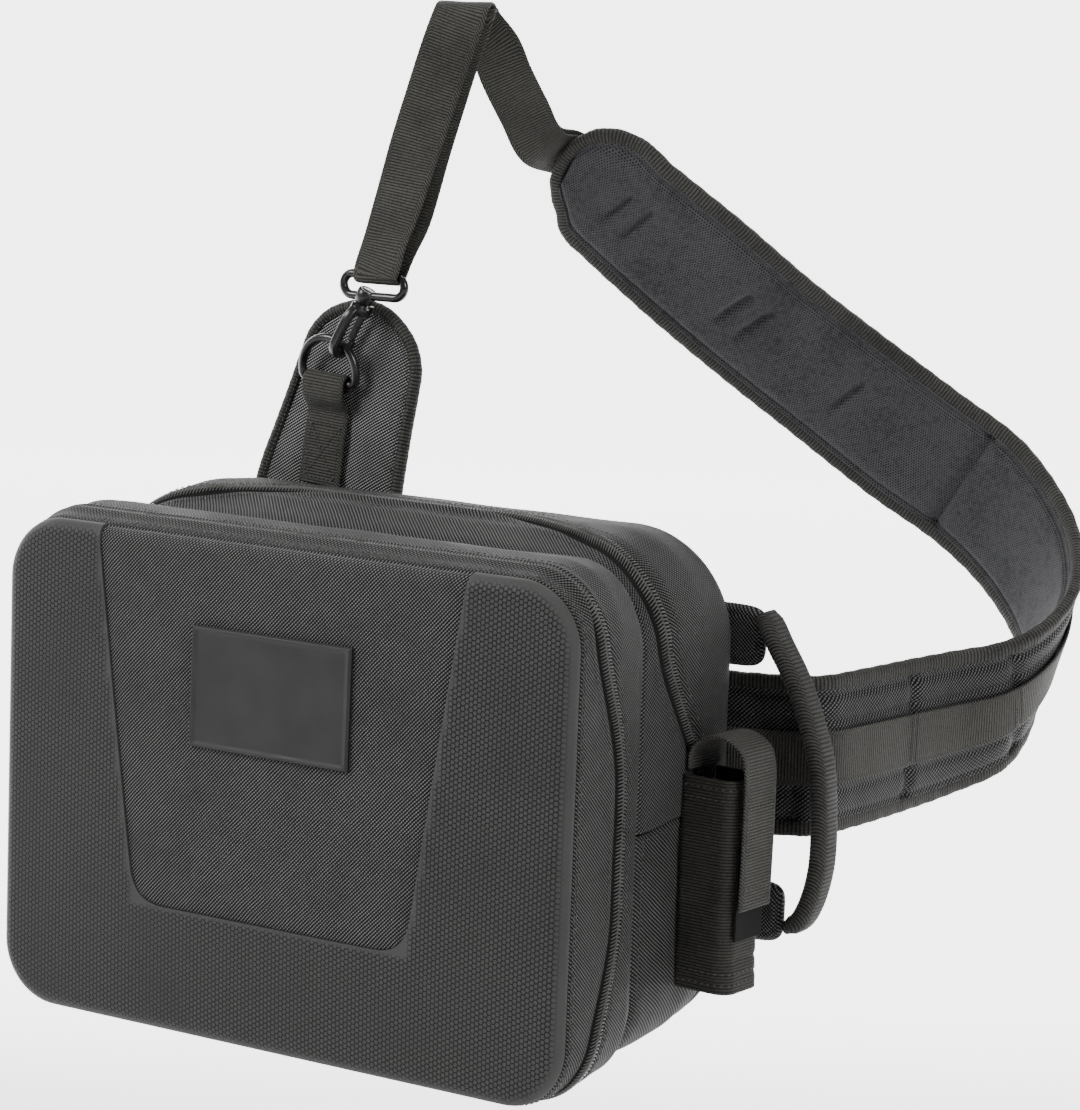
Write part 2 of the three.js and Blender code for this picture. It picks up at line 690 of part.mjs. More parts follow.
function strapRing() {
  const end = barApart / 2;
  const straight = (strapRingInner + strapRingWire) / 2 - end;
  const arc = (side, turn) => vec(
    side * (straight + end * Math.cos(rad(turn))), 0, end * Math.sin(rad(turn)));
  const points = [-0.5, 0.5].map((share) => vec(share * straight, 0, -end));
  for (let turn = -90; turn <= 90; turn += 30) points.push(arc(1, turn));
  points.push(...[0.5, -0.5].map((share) => vec(share * straight, 0, end)));
  for (let turn = 90; turn >= -90; turn -= 30) points.push(arc(-1, turn));
  const loop = carried(points.map((at) => ({ at, wide: vec(0, 1, 0) })),
    ovalSection(strapRingWire, strapRingWire, 8), true).translate(...strapRingMiddle);
  const boss = hookPlaced(upright(bossRadius, -bossHeight / 2, bossHeight / 2));
  const bore = hookPlaced(upright(pinRadius + gap, -bossHeight * 2, bossHeight));
  const headRoom = hookPlaced(upright(pinHeadRadius + gap, headSeat, bossHeight));
  const neckRoom = hookPlaced(upright(neckRadius + gap, -bossHeight * 2, -bossHeight / 2));
  return cutFrom(joined(loop, boss), bore, headRoom, neckRoom);
}

// Pin, neck, spine and bend of the hook; the spine is in front and the gate behind
const neckTop = -bossHeight / 2 - gap;
const bendMiddle = -hookLength + (hookInner - ringWire) / 2 - gap * 2.5;
const bendRadius = (hookInner + hookThick) / 2;
const gatePlane = (hookInner + gateThick) / 2;
const gateTop = neckTop - gateDrop;
const gateLow = bendMiddle + gap * 3;

function hookBody() {
  const pin = upright(pinRadius, neckTop - 1, headSeat + gap + 0.1);
  const head = upright(pinHeadRadius, headSeat + gap, headSeat + gap + pinHeadThick);
  const neck = upright(neckRadius, neckTop - neckLength, neckTop);
  const collar = upright(bossRadius, neckTop - collarLow, neckTop - collarTop, bossRadius * 0.85);
  const points = [vec(0, -bendRadius * 0.55, neckTop - 3.5), vec(0, -bendRadius, neckTop - 8)];
  for (let turn = 0; turn <= 180; turn += 22.5) {
    const [out, down] = [Math.cos(rad(turn)), Math.sin(rad(turn))];
    points.push(vec(0, -bendRadius * out, bendMiddle - bendRadius * down));
  }
  const route = points.map((at) => ({ at, wide: vec(1, 0, 0) }));
  const spine = carried(route, flatSection(hookWide, hookThick));
  const ears = [-1, 1].map((side) => new THREE.BoxGeometry(gateEar, earDeep, earLong)
    .translate(side * (gateWide / 2 + gap + gateEar / 2), gatePlane - 0.4, gateTop + earUp));
  return hookPlaced(joined(pin, head, neck, collar, spine, ...ears));
}

// The gate is hinged between the hook's ears and closes on the end of its bend
function gateBody() {
  const leaf = new THREE.BoxGeometry(gateWide, gateThick, gateTop - gateLow);
  return hookPlaced(leaf.translate(0, gatePlane, (gateTop + gateLow) / 2));
}

// Sling

// The webbing's middle line from the strap ring over the top to the pad. Right is a share of the
// reach from the right wall, back of the depth from the back, up of the rise from the bag's top.
// wide is the way its width lies, as parts of right, back and up.
const webRows = [
  { right: -2.601, back: -0.003, up: 0.485, wide: [1, 0, 0] },
  { right: -2.589, back: 0.013, up: 0.527, wide: [1, 0.05, 0] },
  { right: -2.560, back: 0.033, up: 0.597, wide: [0.97, 0.2, 0] },
  { right: -2.540, back: 0.073, up: 0.705, wide: [0.9, 0.4, 0] },
  { right: -2.486, back: 0.098, up: 0.806, wide: [0.87, 0.48, 0] },
  { right: -2.412, back: 0.117, up: 0.911, wide: [0.853, 0.522, 0] },
  { right: -2.377, back: 0.132, up: 0.962, wide: [0.853, 0.522, 0] },
  { right: -2.366, back: 0.144, up: 0.984, wide: [0.853, 0.522, 0] },
  { right: -2.380, back: 0.168, up: 0.993, wide: [0.853, 0.522, 0] },
  { right: -2.392, back: 0.193, up: 0.984, wide: [0.853, 0.522, 0] },
  { right: -2.381, back: 0.205, up: 0.962, wide: [0.853, 0.522, 0] },
  { right: -2.264, back: 0.232, up: 0.908, wide: [0.82, 0.52, 0.15] },
  { right: -2.215, back: 0.254, up: 0.855, wide: [0.76, 0.51, 0.35] },
  { right: -2.175, back: 0.310, up: 0.783, wide: [0.7, 0.45, 0.5] },
  { right: -2.142, back: 0.372, up: 0.714, wide: [0.73, 0.3, 0.56] },
];
const padRows = [
  { right: -2.042, back: 0.425, up: 0.672, wide: [0.78, -0.05, 0.58] },
  { right: -1.880, back: 0.460, up: 0.640, wide: [0.79, -0.10, 0.56] },
  { right: -1.705, back: 0.494, up: 0.582, wide: [0.79, -0.14, 0.57] },
  { right: -1.321, back: 0.589, up: 0.460, wide: [0.76, -0.08, 0.65] },
  { right: -1.012, back: 0.716, up: 0.342, wide: [0.77, -0.07, 0.63] },
  { right: -0.648, back: 0.849, up: 0.220, wide: [0.72, -0.08, 0.69] },
  { right: -0.217, back: 0.956, up: 0.096, wide: [0.63, -0.08, 0.77] },
  { right: 0.267, back: 1.005, up: -0.012, wide: [0.59, -0.14, 0.79] },
  { right: 0.685, back: 0.971, up: -0.134, wide: [0.64, -0.32, 0.69] },
  { right: 0.920, back: 0.893, up: -0.235, wide: [0.57, -0.47, 0.70] },
  { right: 1.005, back: 0.785, up: -0.325, wide: [0.36, -0.49, 0.78] },
  { right: 0.925, back: 0.655, up: -0.397, wide: [0.16, -0.38, 0.90] },
  { right: 0.723, back: 0.528, up: -0.428, wide: [0.09, -0.23, 0.97] },
  { right: 0.603, back: 0.390, up: -0.440, wide: [0.05, -0.10, 0.99] },
  { right: 0.513, back: 0.232, up: -0.446, wide: [0.02, -0.01, 1] },
  { right: 0.400, back: 0.104, up: -0.450, wide: [0, 0, 1] },
  { right: 0.080, back: 0.055, up: -0.452, wide: [0, 0, 1] },
  { right: -0.350, back: 0.040, up: -0.455, wide: [0, 0, 1] },
  { right: -0.800, back: 0.038, up: -0.455, wide: [0, 0, 1] },
];
const slingTop = bagHeight + mainRise;
const slingRow = (row) => ({
  at: vec(rightWall + row.right * slingReach, bagDepth + row.back * slingDepth,
    slingTop + row.up * slingRise),
  wide: vec(...row.wide),
});

// Stations along a smooth line through the rows, about a step apart
function sampled(rows, step) {
  const line = new THREE.CatmullRomCurve3(rows.map((row) => row.at), false, "centripetal");
  const length = line.getLength();
  const count = Math.round(length / step);
  return Array.from({ length: count + 1 }, (_, i) => {
    const t = line.getUtoTmapping(i / count);
    const place = t * (rows.length - 1);
    const row = Math.min(Math.floor(place), rows.length - 2);
    const [at, along] = [line.getPoint(t), line.getTangent(t)];
    const wide = rows[row].wide.clone().lerp(rows[row + 1].wide, place - row);
    wide.addScaledVector(along, -wide.dot(along)).normalize();
    return { at, along, wide, out: vec(0, 0, 0).crossVectors(wide, along), far: i / count * length };
  });
}

const offset = (row, wide, out) => ({
  at: row.at.clone().addScaledVector(row.wide, wide).addScaledVector(row.out, out),
  wide: row.wide,
});

// The pad's stations are closer together at its rounded tip
const padLine = sampled(padRows.map(slingRow), padStep / 2)
  .filter((row, i) => row.far < tipWeb || i % 2 === 0);
const layerApart = (layerGap + webThick) / 2;
const keeperBar = layerGap - gap * 3;
const keeperSlot = webThick + gap * 4;
const keeperHalf = keeperBar / 2 + keeperSlot + keeperWall;
const webLift = padThick / 2 + gap + keeperHalf;
const webLine = sampled([
  { at: highBar, wide: vec(1, 0, 0) }, ...webRows.map(slingRow),
  offset(padLine[0], 0, webLift), offset(padLine[2], 0, webLift + gap * 2),
], webStep);
const webEnd = webLine.at(-1).far;

// The doubled webbing: up from the pad in the inner layer, round the strap ring and back outside it
function slingWebbing() {
  const turnRadius = strapRingWire / 2 + gap * 2 + webThick / 2;
  const apart = (row) => lerp(turnRadius, layerApart, smooth(row.far, 0, webEnd / 3));
  const shift = (row) => layerShift * smooth(row.far, 0, webEnd / 8)
    * (1 - smooth(row.far, webEnd * 0.45, webEnd * 0.6));
  const layer = (side) => webLine.map((row) =>
    offset(row, side < 0 ? shift(row) : 0, side * apart(row)));
  const turn = Array.from({ length: 7 }, (_, i) => {
    const a = i / 6 * Math.PI;
    return {
      at: highBar.clone().add(vec(0, turnRadius * Math.cos(a), -turnRadius * Math.sin(a))),
      wide: vec(1, 0, 0),
    };
  });
  return carried([...layer(-1).reverse(), ...turn, ...layer(1)], flatSection(webWidth, webThick));
}

// A frame that holds both layers side by side at the pad
function webKeeper() {
  const row = webLine.at(-2);
  const slotWide = webWidth + keeperRoom;
  const frame = new THREE.BoxGeometry(slotWide + keeperWall * 2, keeperHalf * 2, keeperLength);
  const slots = [-1, 1].map((side) => new THREE.BoxGeometry(slotWide, keeperSlot, keeperLength * 2)
    .translate(0, side * (keeperSlot + keeperBar) / 2, 0));
  const turned = new THREE.Matrix4().makeBasis(row.wide, row.out, row.along.clone().negate());
  return cutFrom(frame, ...slots).applyMatrix4(turned.setPosition(row.at));
}

// The pad's half width: full, but rounded in at its upper tip
function padHalf(far) {
  const fromTip = Math.min(far / tipWeb, 1);
  return padWidth / 2 * Math.sqrt(1 - (1 - fromTip) ** 2 * 0.86);
}

// Half of the pad's section, as shares of its half width and half thickness
const padProfile = [[1, 0.55], [0.75, 0.9], [0.25, 1], [-0.25, 1], [-0.75, 0.9], [-1, 0.55]];

function slingPad() {
  const profile = [...padProfile, ...padProfile.map(([w, n]) => [w, -n]).reverse()];
  const section = (row) => {
    const half = padHalf(row.far - tipInset) - padBindWidth - gap * 3;
    return profile.map(([w, n]) => [w * half, n * padThick / 2]);
  };
  return carried(padLine.slice(1), section);
}

function padBinding() {
  const edge = (side) => padLine.map((row) => {
    const place = offset(row, side * (padHalf(row.far) - padBindWidth / 2), 0);
    const back = row.along.clone().multiplyScalar(-2 * Math.max(1 - row.far / tipWeb, 0));
    return { at: place.at, wide: back.addScaledVector(row.wide, side) };
  });
  return carried([...edge(1).reverse(), ...edge(-1)], flatSection(padBindWidth, padBindThick));
}

function loadWebbing() {
  const lift = padThick / 2 + gap * 2 + webThick / 2;
  const route = padLine.slice(loadStart).map((row) => offset(row, 0, lift));
  return carried(route, flatSection(webWidth, webThick));
}

// Finishes and assembly

const finish = (color, roughness) => new THREE.MeshStandardMaterial({ color, roughness });
const shellFoam = finish(0x4a4a49, 0.7);
const weave = finish(0x3b3a3b, 0.85);
const webbing = finish(0x34342f, 0.8);
const rubber = finish(0x333332, 0.6);
const coil = finish(0x242424, 0.45);
const plastic = finish(0x1b1b1c, 0.3);
const mesh = finish(0x2a2a2e, 0.9);

const bag = new THREE.Group();

function add(name, geometry, material, parent = bag) {
  const piece = new THREE.Mesh(geometry, material);
  piece.name = name;
  parent.add(piece);
}

add("front_shell", frontShell(), shellFoam);
add("centre_panel", centrePanel(), weave);
add("badge", badge(), rubber);
add("front_gusset", frontGusset(), weave);
add("front_zipper", frontZipper(), coil);
add("valley_gusset", valleyGusset(), weave);
add("divider", divider(), weave);
add("hood_panel", hoodPanel(), weave);
add("main_zipper", mainZipper(), coil);
add("lower_panel", lowerPanel(), weave);
add("back_shell", backShell(), weave);
add("front_slider", zipSlider(frontZip(0.37), 0.37), plastic);
add("main_slider", zipSlider(mainZip(0.56), 0.56), plastic);

const toolSide = new THREE.Group();
toolSide.position.set(wallFace, sheathDepth, sheathBottom);
toolSide.rotation.z = -wallTurn;
bag.add(toolSide);
add("tool_sheath", toolSheath(), webbing, toolSide);
add("tool_patch", toolPatch(), mesh, toolSide);
add("tool_flap", toolFlap(), webbing, toolSide);

add("handle", handle(), webbing);
add("handle_anchor_upper", handleAnchor(handleTop - anchorHeight * 0.4, upperAnchorOut), weave);
add("handle_anchor_lower", handleAnchor(handleBottom + anchorHeight * 0.2, lowerAnchorOut), weave);

bag.add(shield);
add("shield_tab", shieldTab(), weave, shield);
add("shield_binding", shieldBinding(), webbing, shield);
bag.add(ringPlace);
add("ring_webbing", ringWebbing(), webbing, ringPlace);
add("d_ring", dRing(), plastic, bowPlace);

add("strap_ring", strapRing(), plastic);
add("hook", hookBody(), plastic);
add("gate", gateBody(), plastic);

add("sling_webbing", slingWebbing(), webbing);
add("web_keeper", webKeeper(), plastic);
add("sling_pad", slingPad(), mesh);
add("pad_binding", padBinding(), webbing);
add("load_webbing", loadWebbing(), webbing);

// The strap hangs by the inner layer's underside at the top of its route
const hang = webLine.reduce((best, row) => row.at.z > best.at.z ? row : best);
bag.position.copy(hang.at).negate();
bag.position.z += layerApart + webThick / 2;

const model = new THREE.Group();
model.add(bag);
export default model;
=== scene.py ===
import bmesh
import bpy
import math
import numpy as np
from mathutils import Matrix


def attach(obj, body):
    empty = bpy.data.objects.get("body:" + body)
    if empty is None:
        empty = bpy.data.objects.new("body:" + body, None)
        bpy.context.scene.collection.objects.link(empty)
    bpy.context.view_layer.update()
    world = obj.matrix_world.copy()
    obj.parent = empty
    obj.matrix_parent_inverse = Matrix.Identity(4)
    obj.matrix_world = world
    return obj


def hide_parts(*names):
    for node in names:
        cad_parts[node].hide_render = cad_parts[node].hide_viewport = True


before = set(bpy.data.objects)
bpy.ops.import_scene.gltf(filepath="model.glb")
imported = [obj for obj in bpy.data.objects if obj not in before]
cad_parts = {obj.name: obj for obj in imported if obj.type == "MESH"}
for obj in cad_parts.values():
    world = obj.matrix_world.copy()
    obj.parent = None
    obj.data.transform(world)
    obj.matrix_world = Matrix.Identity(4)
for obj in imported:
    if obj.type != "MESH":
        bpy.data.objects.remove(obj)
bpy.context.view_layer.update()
print("frame loaded")

# helpers
bagShift = np.array([27.520, -175.384, -457.618])   # the bag's own millimetres to the row frame


# bag millimetres to the frame's metres: add the shift, divide by 1000
def toRow(points):
    return (np.asarray(points, float) + bagShift) / 1000


# eased step: 0 up to a, 1 from b, 3t^2 - 2t^3 between
def easedStep(x, a, b):
    t = np.clip((np.asarray(x, float) - a) / (b - a), 0, 1)
    return t * t * (3 - 2 * t)


# each vector divided by its length
def unit(vectors):
    return vectors / np.maximum(np.linalg.norm(vectors, axis=-1, keepdims=True), 1e-9)


# smooth seeded noise: a sum of sines of different directions, about -1 to 1
def ripple(points, size, seed):
    random = np.random.default_rng(seed)
    total = 0
    for layer in range(6):
        direction = unit(random.normal(size=3)) * (0.6 + 0.25 * layer)
        phase = random.uniform(0, 6.28)
        total = total + np.sin(points @ direction * (2 * np.pi / size) + phase) / (1 + 0.35 * layer)
    return total / 3.2


# quads of a grid of rows and columns, as vertex numbers and as numbers into the UV grid
def gridFaces(rows, cols, wrapRows=False, wrapCols=False):
    i, j = np.meshgrid(np.arange(rows if wrapRows else rows - 1), np.arange(cols if wrapCols else cols - 1),
        indexing="ij")
    i, j = i.ravel(), j.ravel()
    ni, nj = (i + 1) % rows, (j + 1) % cols
    quads = np.stack([i * cols + j, i * cols + nj, ni * cols + nj, ni * cols + j], 1)
    wide = cols + (1 if wrapCols else 0)
    uvQuads = np.stack([i * wide + j, i * wide + j + 1, (i + 1) * wide + j + 1, (i + 1) * wide + j], 1)
    return quads, uvQuads


# a mesh from whole arrays; faceSets is a list of (faces, uv per corner in mm, material number)
def meshPiece(name, points, faceSets, materials, slotName, body="bag", replaces=(), values=None):
    mesh = bpy.data.meshes.new(name)
    co = toRow(points).astype(np.float32)
    mesh.vertices.add(len(co))
    mesh.vertices.foreach_set("co", co.ravel())
    loops = np.concatenate([faces.ravel() for faces, uv, number in faceSets]).astype(np.int32)
    sizes = np.concatenate([np.full(len(faces), faces.shape[1], np.int32) for faces, _, _ in faceSets])
    numbers = np.concatenate([np.full(len(faces), number, np.int32) for faces, _, number in faceSets])
    mesh.loops.add(len(loops))
    mesh.loops.foreach_set("vertex_index", loops)
    mesh.polygons.add(len(sizes))
    mesh.polygons.foreach_set("loop_start", np.concatenate([[0], np.cumsum(sizes)[:-1]]).astype(np.int32))
    mesh.polygons.foreach_set("loop_total", sizes)
    mesh.polygons.foreach_set("use_smooth", np.ones(len(sizes), bool))
    mesh.polygons.foreach_set("material_index", numbers)
    mesh.update(calc_edges=True)
    uv = np.concatenate([uv.reshape(-1, 2) for faces, uv, number in faceSets]) / 1000
    mesh.uv_layers.new(name="cloth").data.foreach_set("uv", uv.astype(np.float32).ravel())
    for key, value in (values or {}).items():
        mesh.attributes.new(key, "FLOAT", "POINT").data.foreach_set("value", value.astype(np.float32))
    for material in materials:
        mesh.materials.append(material)
    piece = bpy.data.objects.new(name, mesh)
    bpy.context.scene.collection.objects.link(piece)
    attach(piece, body)
    if replaces:
        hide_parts(*replaces)
    return piece


# six times the volume that closed faces hold: positive when they point outwards
def heldVolume(points, faces):
    a, b, c = points[faces[:, 0]], points[faces[:, 1]], points[faces[:, 2]]
    total = np.einsum("ij,ij->", a, np.cross(b, c))
    if faces.shape[1] == 4:
        total += np.einsum("ij,ij->", a, np.cross(c, points[faces[:, 3]]))
    return total


# a cloth sheet: points on a grid, given a wall inwards by Solidify. inside is a point on its inner side.
def clothSheet(name, points, uv, wall, inside, materials, slotName, wrapRows=False, **more):
    rows, cols = points.shape[:2]
    quads, uvQuads = gridFaces(rows, cols, wrapRows)
    flat = points.reshape(-1, 3)
    a, b, c, d = (flat[quads[:, k]] for k in range(4))
    facing = np.cross(c - a, d - b)
    outwards = np.einsum("ij,ij->", facing, unit((a + c) / 2 - np.asarray(inside, float)))
    if outwards < 0:
        quads, uvQuads = quads[:, ::-1], uvQuads[:, ::-1]
    piece = meshPiece(name, flat, [(quads, uv.reshape(-1, 2)[uvQuads], 0)], materials, slotName, **more)
    solid = piece.modifiers.new("wall", "SOLIDIFY")
    solid.thickness = wall / 1000
    solid.offset = -1
    return piece


# a closed body carried along a route: each ring is at + wide * w + out * n, each end closed at its middle
def carriedBody(name, at, wide, profile, materials, slotName, looped=False, numbers=None, shape=None,
        **more):
    at, wide = np.asarray(at, float), np.asarray(wide, float)
    if looped:
        along = unit(np.roll(at, -1, 0) - np.roll(at, 1, 0))
    else:
        along = unit(np.gradient(at, axis=0))
    wide = unit(wide - along * np.sum(wide * along, 1, keepdims=True))
    out = np.cross(wide, along)
    profile = np.asarray(profile, float)
    if profile.ndim == 2:
        profile = np.repeat(profile[None], len(at), 0)
    if shape is not None:
        profile = shape(profile)
    rings = at[:, None] + wide[:, None] * profile[..., :1] + out[:, None] * profile[..., 1:]
    rows, cols = rings.shape[:2]
    far = np.concatenate([[0], np.cumsum(np.linalg.norm(np.diff(at, axis=0), axis=1))])
    if looped:
        far = np.append(far, far[-1] + np.linalg.norm(at[0] - at[-1]))
    across = np.concatenate([profile[..., 0], profile[:, :1, 0]], 1)
    if looped:
        across = np.concatenate([across, across[:1]])
    uv = np.stack([across, np.repeat(far[:, None], cols + 1, 1)], -1).reshape(-1, 2)
    quads, uvQuads = gridFaces(rows, cols, looped, True)
    points = rings.reshape(-1, 3)
    faceSets = [(quads, uvQuads)]
    if not looped:
        ring = np.arange(cols)
        ends = []
        for start, middle in ((0, len(points)), ((rows - 1) * cols, len(points) + 1)):
            ends.append(np.stack([np.full(cols, middle), start + (ring + 1) % cols, start + ring], 1))
        ends[1] = ends[1][:, ::-1]
        points = np.concatenate([points, rings[0].mean(0)[None], rings[-1].mean(0)[None]])
        faceSets.append((np.concatenate(ends), None))
    turned = sum(heldVolume(points, faces) for faces, _ in faceSets) < 0
    sets = []
    for faces, uvFaces in faceSets:
        if turned:
            faces = faces[:, ::-1]
            uvFaces = None if uvFaces is None else uvFaces[:, ::-1]
        corner = uv[uvFaces] if uvFaces is not None else np.zeros((len(faces), 3, 2))
        if numbers is not None and uvFaces is not None:
            which = np.tile(numbers, len(faces) // cols)
            for number in np.unique(which):
                sets.append((faces[which == number], corner[which == number], int(number)))
        else:
            sets.append((faces, corner, 0))
    return meshPiece(name, points, sets, materials, slotName, **more)


# a flat strip's section with soft edges: a superellipse of the given width and thickness
def stripProfile(width, thick, count=28, square=0.22, edge=0.6):
    turn = np.linspace(0, 2 * np.pi, count, endpoint=False)
    c, s = np.cos(turn), np.sin(turn)
    return np.stack([np.sign(c) * np.abs(c) ** square * width / 2,
            np.sign(s) * np.abs(s) ** edge * thick / 2], 1)


# an ellipse of a width and a thickness
def roundProfile(width, thick, count=20):
    turn = np.linspace(0, 2 * np.pi, count, endpoint=False)
    return np.stack([np.cos(turn) * width / 2, np.sin(turn) * thick / 2], 1)


# the numbers of a grid's outer points, once round
def gridRim(number):
    return np.concatenate([number[:, 0], number[-1, 1:], number[::-1, -1][1:], number[0, ::-1][1:-1]])


# centripetal Catmull-Rom through the rows, resampled at even steps of arc length
def smoothLine(points, wides, step):
    points, wides = np.asarray(points, float), np.asarray(wides, float)
    padded = np.concatenate([[2 * points[0] - points[1]], points, [2 * points[-1] - points[-2]]])
    places, shares = [], []
    t = np.linspace(0, 1, 40, endpoint=False)[:, None]
    for k in range(len(points) - 1):
        p = padded[k:k + 4]
        d = np.maximum(np.linalg.norm(np.diff(p, axis=0), axis=1) ** 0.5, 1e-6)
        m1 = (p[1] - p[0]) / d[0] - (p[2] - p[0]) / (d[0] + d[1]) + (p[2] - p[1]) / d[1]
        m2 = (p[2] - p[1]) / d[1] - (p[3] - p[1]) / (d[1] + d[2]) + (p[3] - p[2]) / d[2]
        m1, m2 = m1 * d[1], m2 * d[1]
        places.append(p[1] + m1 * t + (3 * (p[2] - p[1]) - 2 * m1 - m2) * t ** 2
            + (2 * (p[1] - p[2]) + m1 + m2) * t ** 3)
        shares.append(k + t[:, 0])
    places = np.concatenate(places + [points[-1:]])
    shares = np.concatenate(shares + [[len(points) - 1]])
    length = np.concatenate([[0], np.cumsum(np.linalg.norm(np.diff(places, axis=0), axis=1))])
    far = np.linspace(0, length[-1], int(round(length[-1] / step)) + 1)
    at = np.stack([np.interp(far, length, places[:, k]) for k in range(3)], 1)
    share = np.interp(far, length, shares)
    wide = np.stack([np.interp(share, np.arange(len(points)), wides[:, k]) for k in range(3)], 1)
    along = unit(np.gradient(at, axis=0))
    wide = unit(wide - along * np.sum(wide * along, 1, keepdims=True))
    return {"at": at, "wide": wide, "along": along, "out": np.cross(wide, along), "far": far}


# threads laid on a line: six-cornered grains along the tangents, lifted a little off the surface
def stitchRow(at, along, normal, pitch=3.2, length=2.3, thick=0.62, lift=0.25):
    at, along, normal = (np.asarray(a, float) for a in (at, along, normal))
    far = np.concatenate([[0], np.cumsum(np.linalg.norm(np.diff(at, axis=0), axis=1))])
    spots = np.arange(pitch / 2, far[-1], pitch)
    pick = lambda values: np.stack([np.interp(spots, far, values[:, k]) for k in range(3)], 1)
    middle, t, n = pick(at), unit(pick(along)), unit(pick(normal))
    side = unit(np.cross(t, n))
    n = np.cross(side, t)
    middle = middle + n * lift
    corners = [middle - t * length / 2, middle + side * thick * 0.6, middle + n * thick * 0.5,
        middle - side * thick * 0.6, middle - n * thick * 0.5, middle + t * length / 2]
    faces = np.array([[0, 2, 1], [0, 3, 2], [0, 4, 3], [0, 1, 4], [5, 1, 2], [5, 2, 3], [5, 3, 4],
            [5, 4, 1]])
    points = np.stack(corners, 1).reshape(-1, 3)
    count = len(spots)
    return points, (faces[None] + np.arange(count)[:, None, None] * 6).reshape(-1, 3)


# two rows of thread beside a strip's middle, on both of its faces
def edgeStitches(line, keep, reach, **more):
    at, wide, along, out = (line[key][keep] for key in ("at", "wide", "along", "out"))
    return [stitchRow(at + wide * side * reach, along, sign * out, **more) for side in (-1, 1)
        for sign in (-1, 1)]


# one mesh from rows of thread, with its faces turned outwards
def stitchPiece(name, rows, material, body="bag"):
    points, faces, start = [], [], 0
    for rowPoints, rowFaces in rows:
        points.append(rowPoints)
        faces.append(rowFaces + start)
        start += len(rowPoints)
    points, faces = np.concatenate(points), np.concatenate(faces)
    if heldVolume(points, faces) < 0:
        faces = faces[:, ::-1]
    return meshPiece(name, points, [(faces, np.zeros((len(faces), 3, 2)), 0)], [material], "webbing",
        body=body)


# materials
class Tree:
    # a small writer of node trees: every call adds one node and gives back its output
    def __init__(self, name, color, roughness):
        self.material = bpy.data.materials.new(name)
        self.material.use_nodes = True
        self.tree = self.material.node_tree
        self.shader = self.tree.nodes["Principled BSDF"]
        self.shader.inputs["Base Color"].default_value = (*color, 1)
        self.shader.inputs["Roughness"].default_value = roughness

    # a socket is linked to its slot, any other value is set there
    def feed(self, node, slots, values):
        for slotName, value in zip(slots, values):
            if isinstance(value, bpy.types.NodeSocket):
                self.tree.links.new(value, node.inputs[slotName])
            else:
                node.inputs[slotName].default_value = value

    # one Math node over sockets or numbers
    def math(self, operation, *values):
        node = self.tree.nodes.new("ShaderNodeMath")
        node.operation = operation
        self.feed(node, range(len(values)), values)
        return node.outputs[0]

    # texture coordinates, whole and split into their three axes
    def place(self, kind="UV"):
        node = self.tree.nodes.new("ShaderNodeTexCoord")
        split = self.tree.nodes.new("ShaderNodeSeparateXYZ")
        self.tree.links.new(node.outputs[kind], split.inputs[0])
        return node.outputs[kind], split.outputs

    # fractal noise at a scale
    def noise(self, vector, scale, detail=3.0, rough=0.55):
        node = self.tree.nodes.new("ShaderNodeTexNoise")
        node.inputs["Scale"].default_value = scale
        node.inputs["Detail"].default_value = detail
        node.inputs["Roughness"].default_value = rough
        self.tree.links.new(vector, node.inputs["Vector"])
        return node.outputs["Fac"]

    # a value carried from start..end to low..high
    def ramp(self, value, low, high, start=0.0, end=1.0):
        node = self.tree.nodes.new("ShaderNodeMapRange")
        self.feed(node, ["Value", "From Min", "From Max", "To Min", "To Max"],
            [value, start, end, low, high])
        return node.outputs[0]

    # color a towards color b by a factor
    def mix(self, factor, a, b):
        node = self.tree.nodes.new("ShaderNodeMix")
        node.data_type = "RGBA"
        for slotName, value in ((0, factor), (6, a), (7, b)):
            if isinstance(value, bpy.types.NodeSocket):
                self.tree.links.new(value, node.inputs[slotName])
            else:
                node.inputs[slotName].default_value = value if slotName == 0 else (*value, 1)
        return node.outputs[2]

    # a height made a normal, on top of the normal below
    def bump(self, height, distance, strength=1.0, below=None):
        node = self.tree.nodes.new("ShaderNodeBump")
        node.inputs["Strength"].default_value = strength
        node.inputs["Distance"].default_value = distance
        self.tree.links.new(height, node.inputs["Height"])
        if below is not None:
            self.tree.links.new(below, node.inputs["Normal"])
        return node.outputs[0]

    # sockets into the shader's inputs, and fixed values by the input's name
    def finish(self, color=None, roughness=None, normal=None, **fixed):
        for slotName, value in (("Base Color", color), ("Roughness", roughness), ("Normal", normal)):
            if value is not None:
                self.tree.links.new(value, self.shader.inputs[slotName])
        for slotName, value in fixed.items():
            self.shader.inputs[slotName.replace("_", " ")].default_value = value
        return self.material

    # distance to a hexagon's middle on a lattice of the given pitch: 0 in the middle, 0.5 at its edge
    def hexagons(self, x, y, pitch):
        root = math.sqrt(3)
        cells = []
        for shiftX, shiftY in ((0, 0), (root / 2, 0.5)):
            gx = self.math("SUBTRACT", self.math("FLOORED_MODULO",
                    self.math("ADD", self.math("DIVIDE", x, pitch), shiftX), root), root / 2)
            gy = self.math("SUBTRACT", self.math("FLOORED_MODULO",
                    self.math("ADD", self.math("DIVIDE", y, pitch), shiftY), 1.0), 0.5)
            gx, gy = self.math("ABSOLUTE", gx), self.math("ABSOLUTE", gy)
            slanted = self.math("ADD", self.math("MULTIPLY", gx, root / 2), self.math("MULTIPLY", gy, 0.5))
            cells.append(self.math("MAXIMUM", slanted, gy))
        return self.math("MINIMUM", *cells)


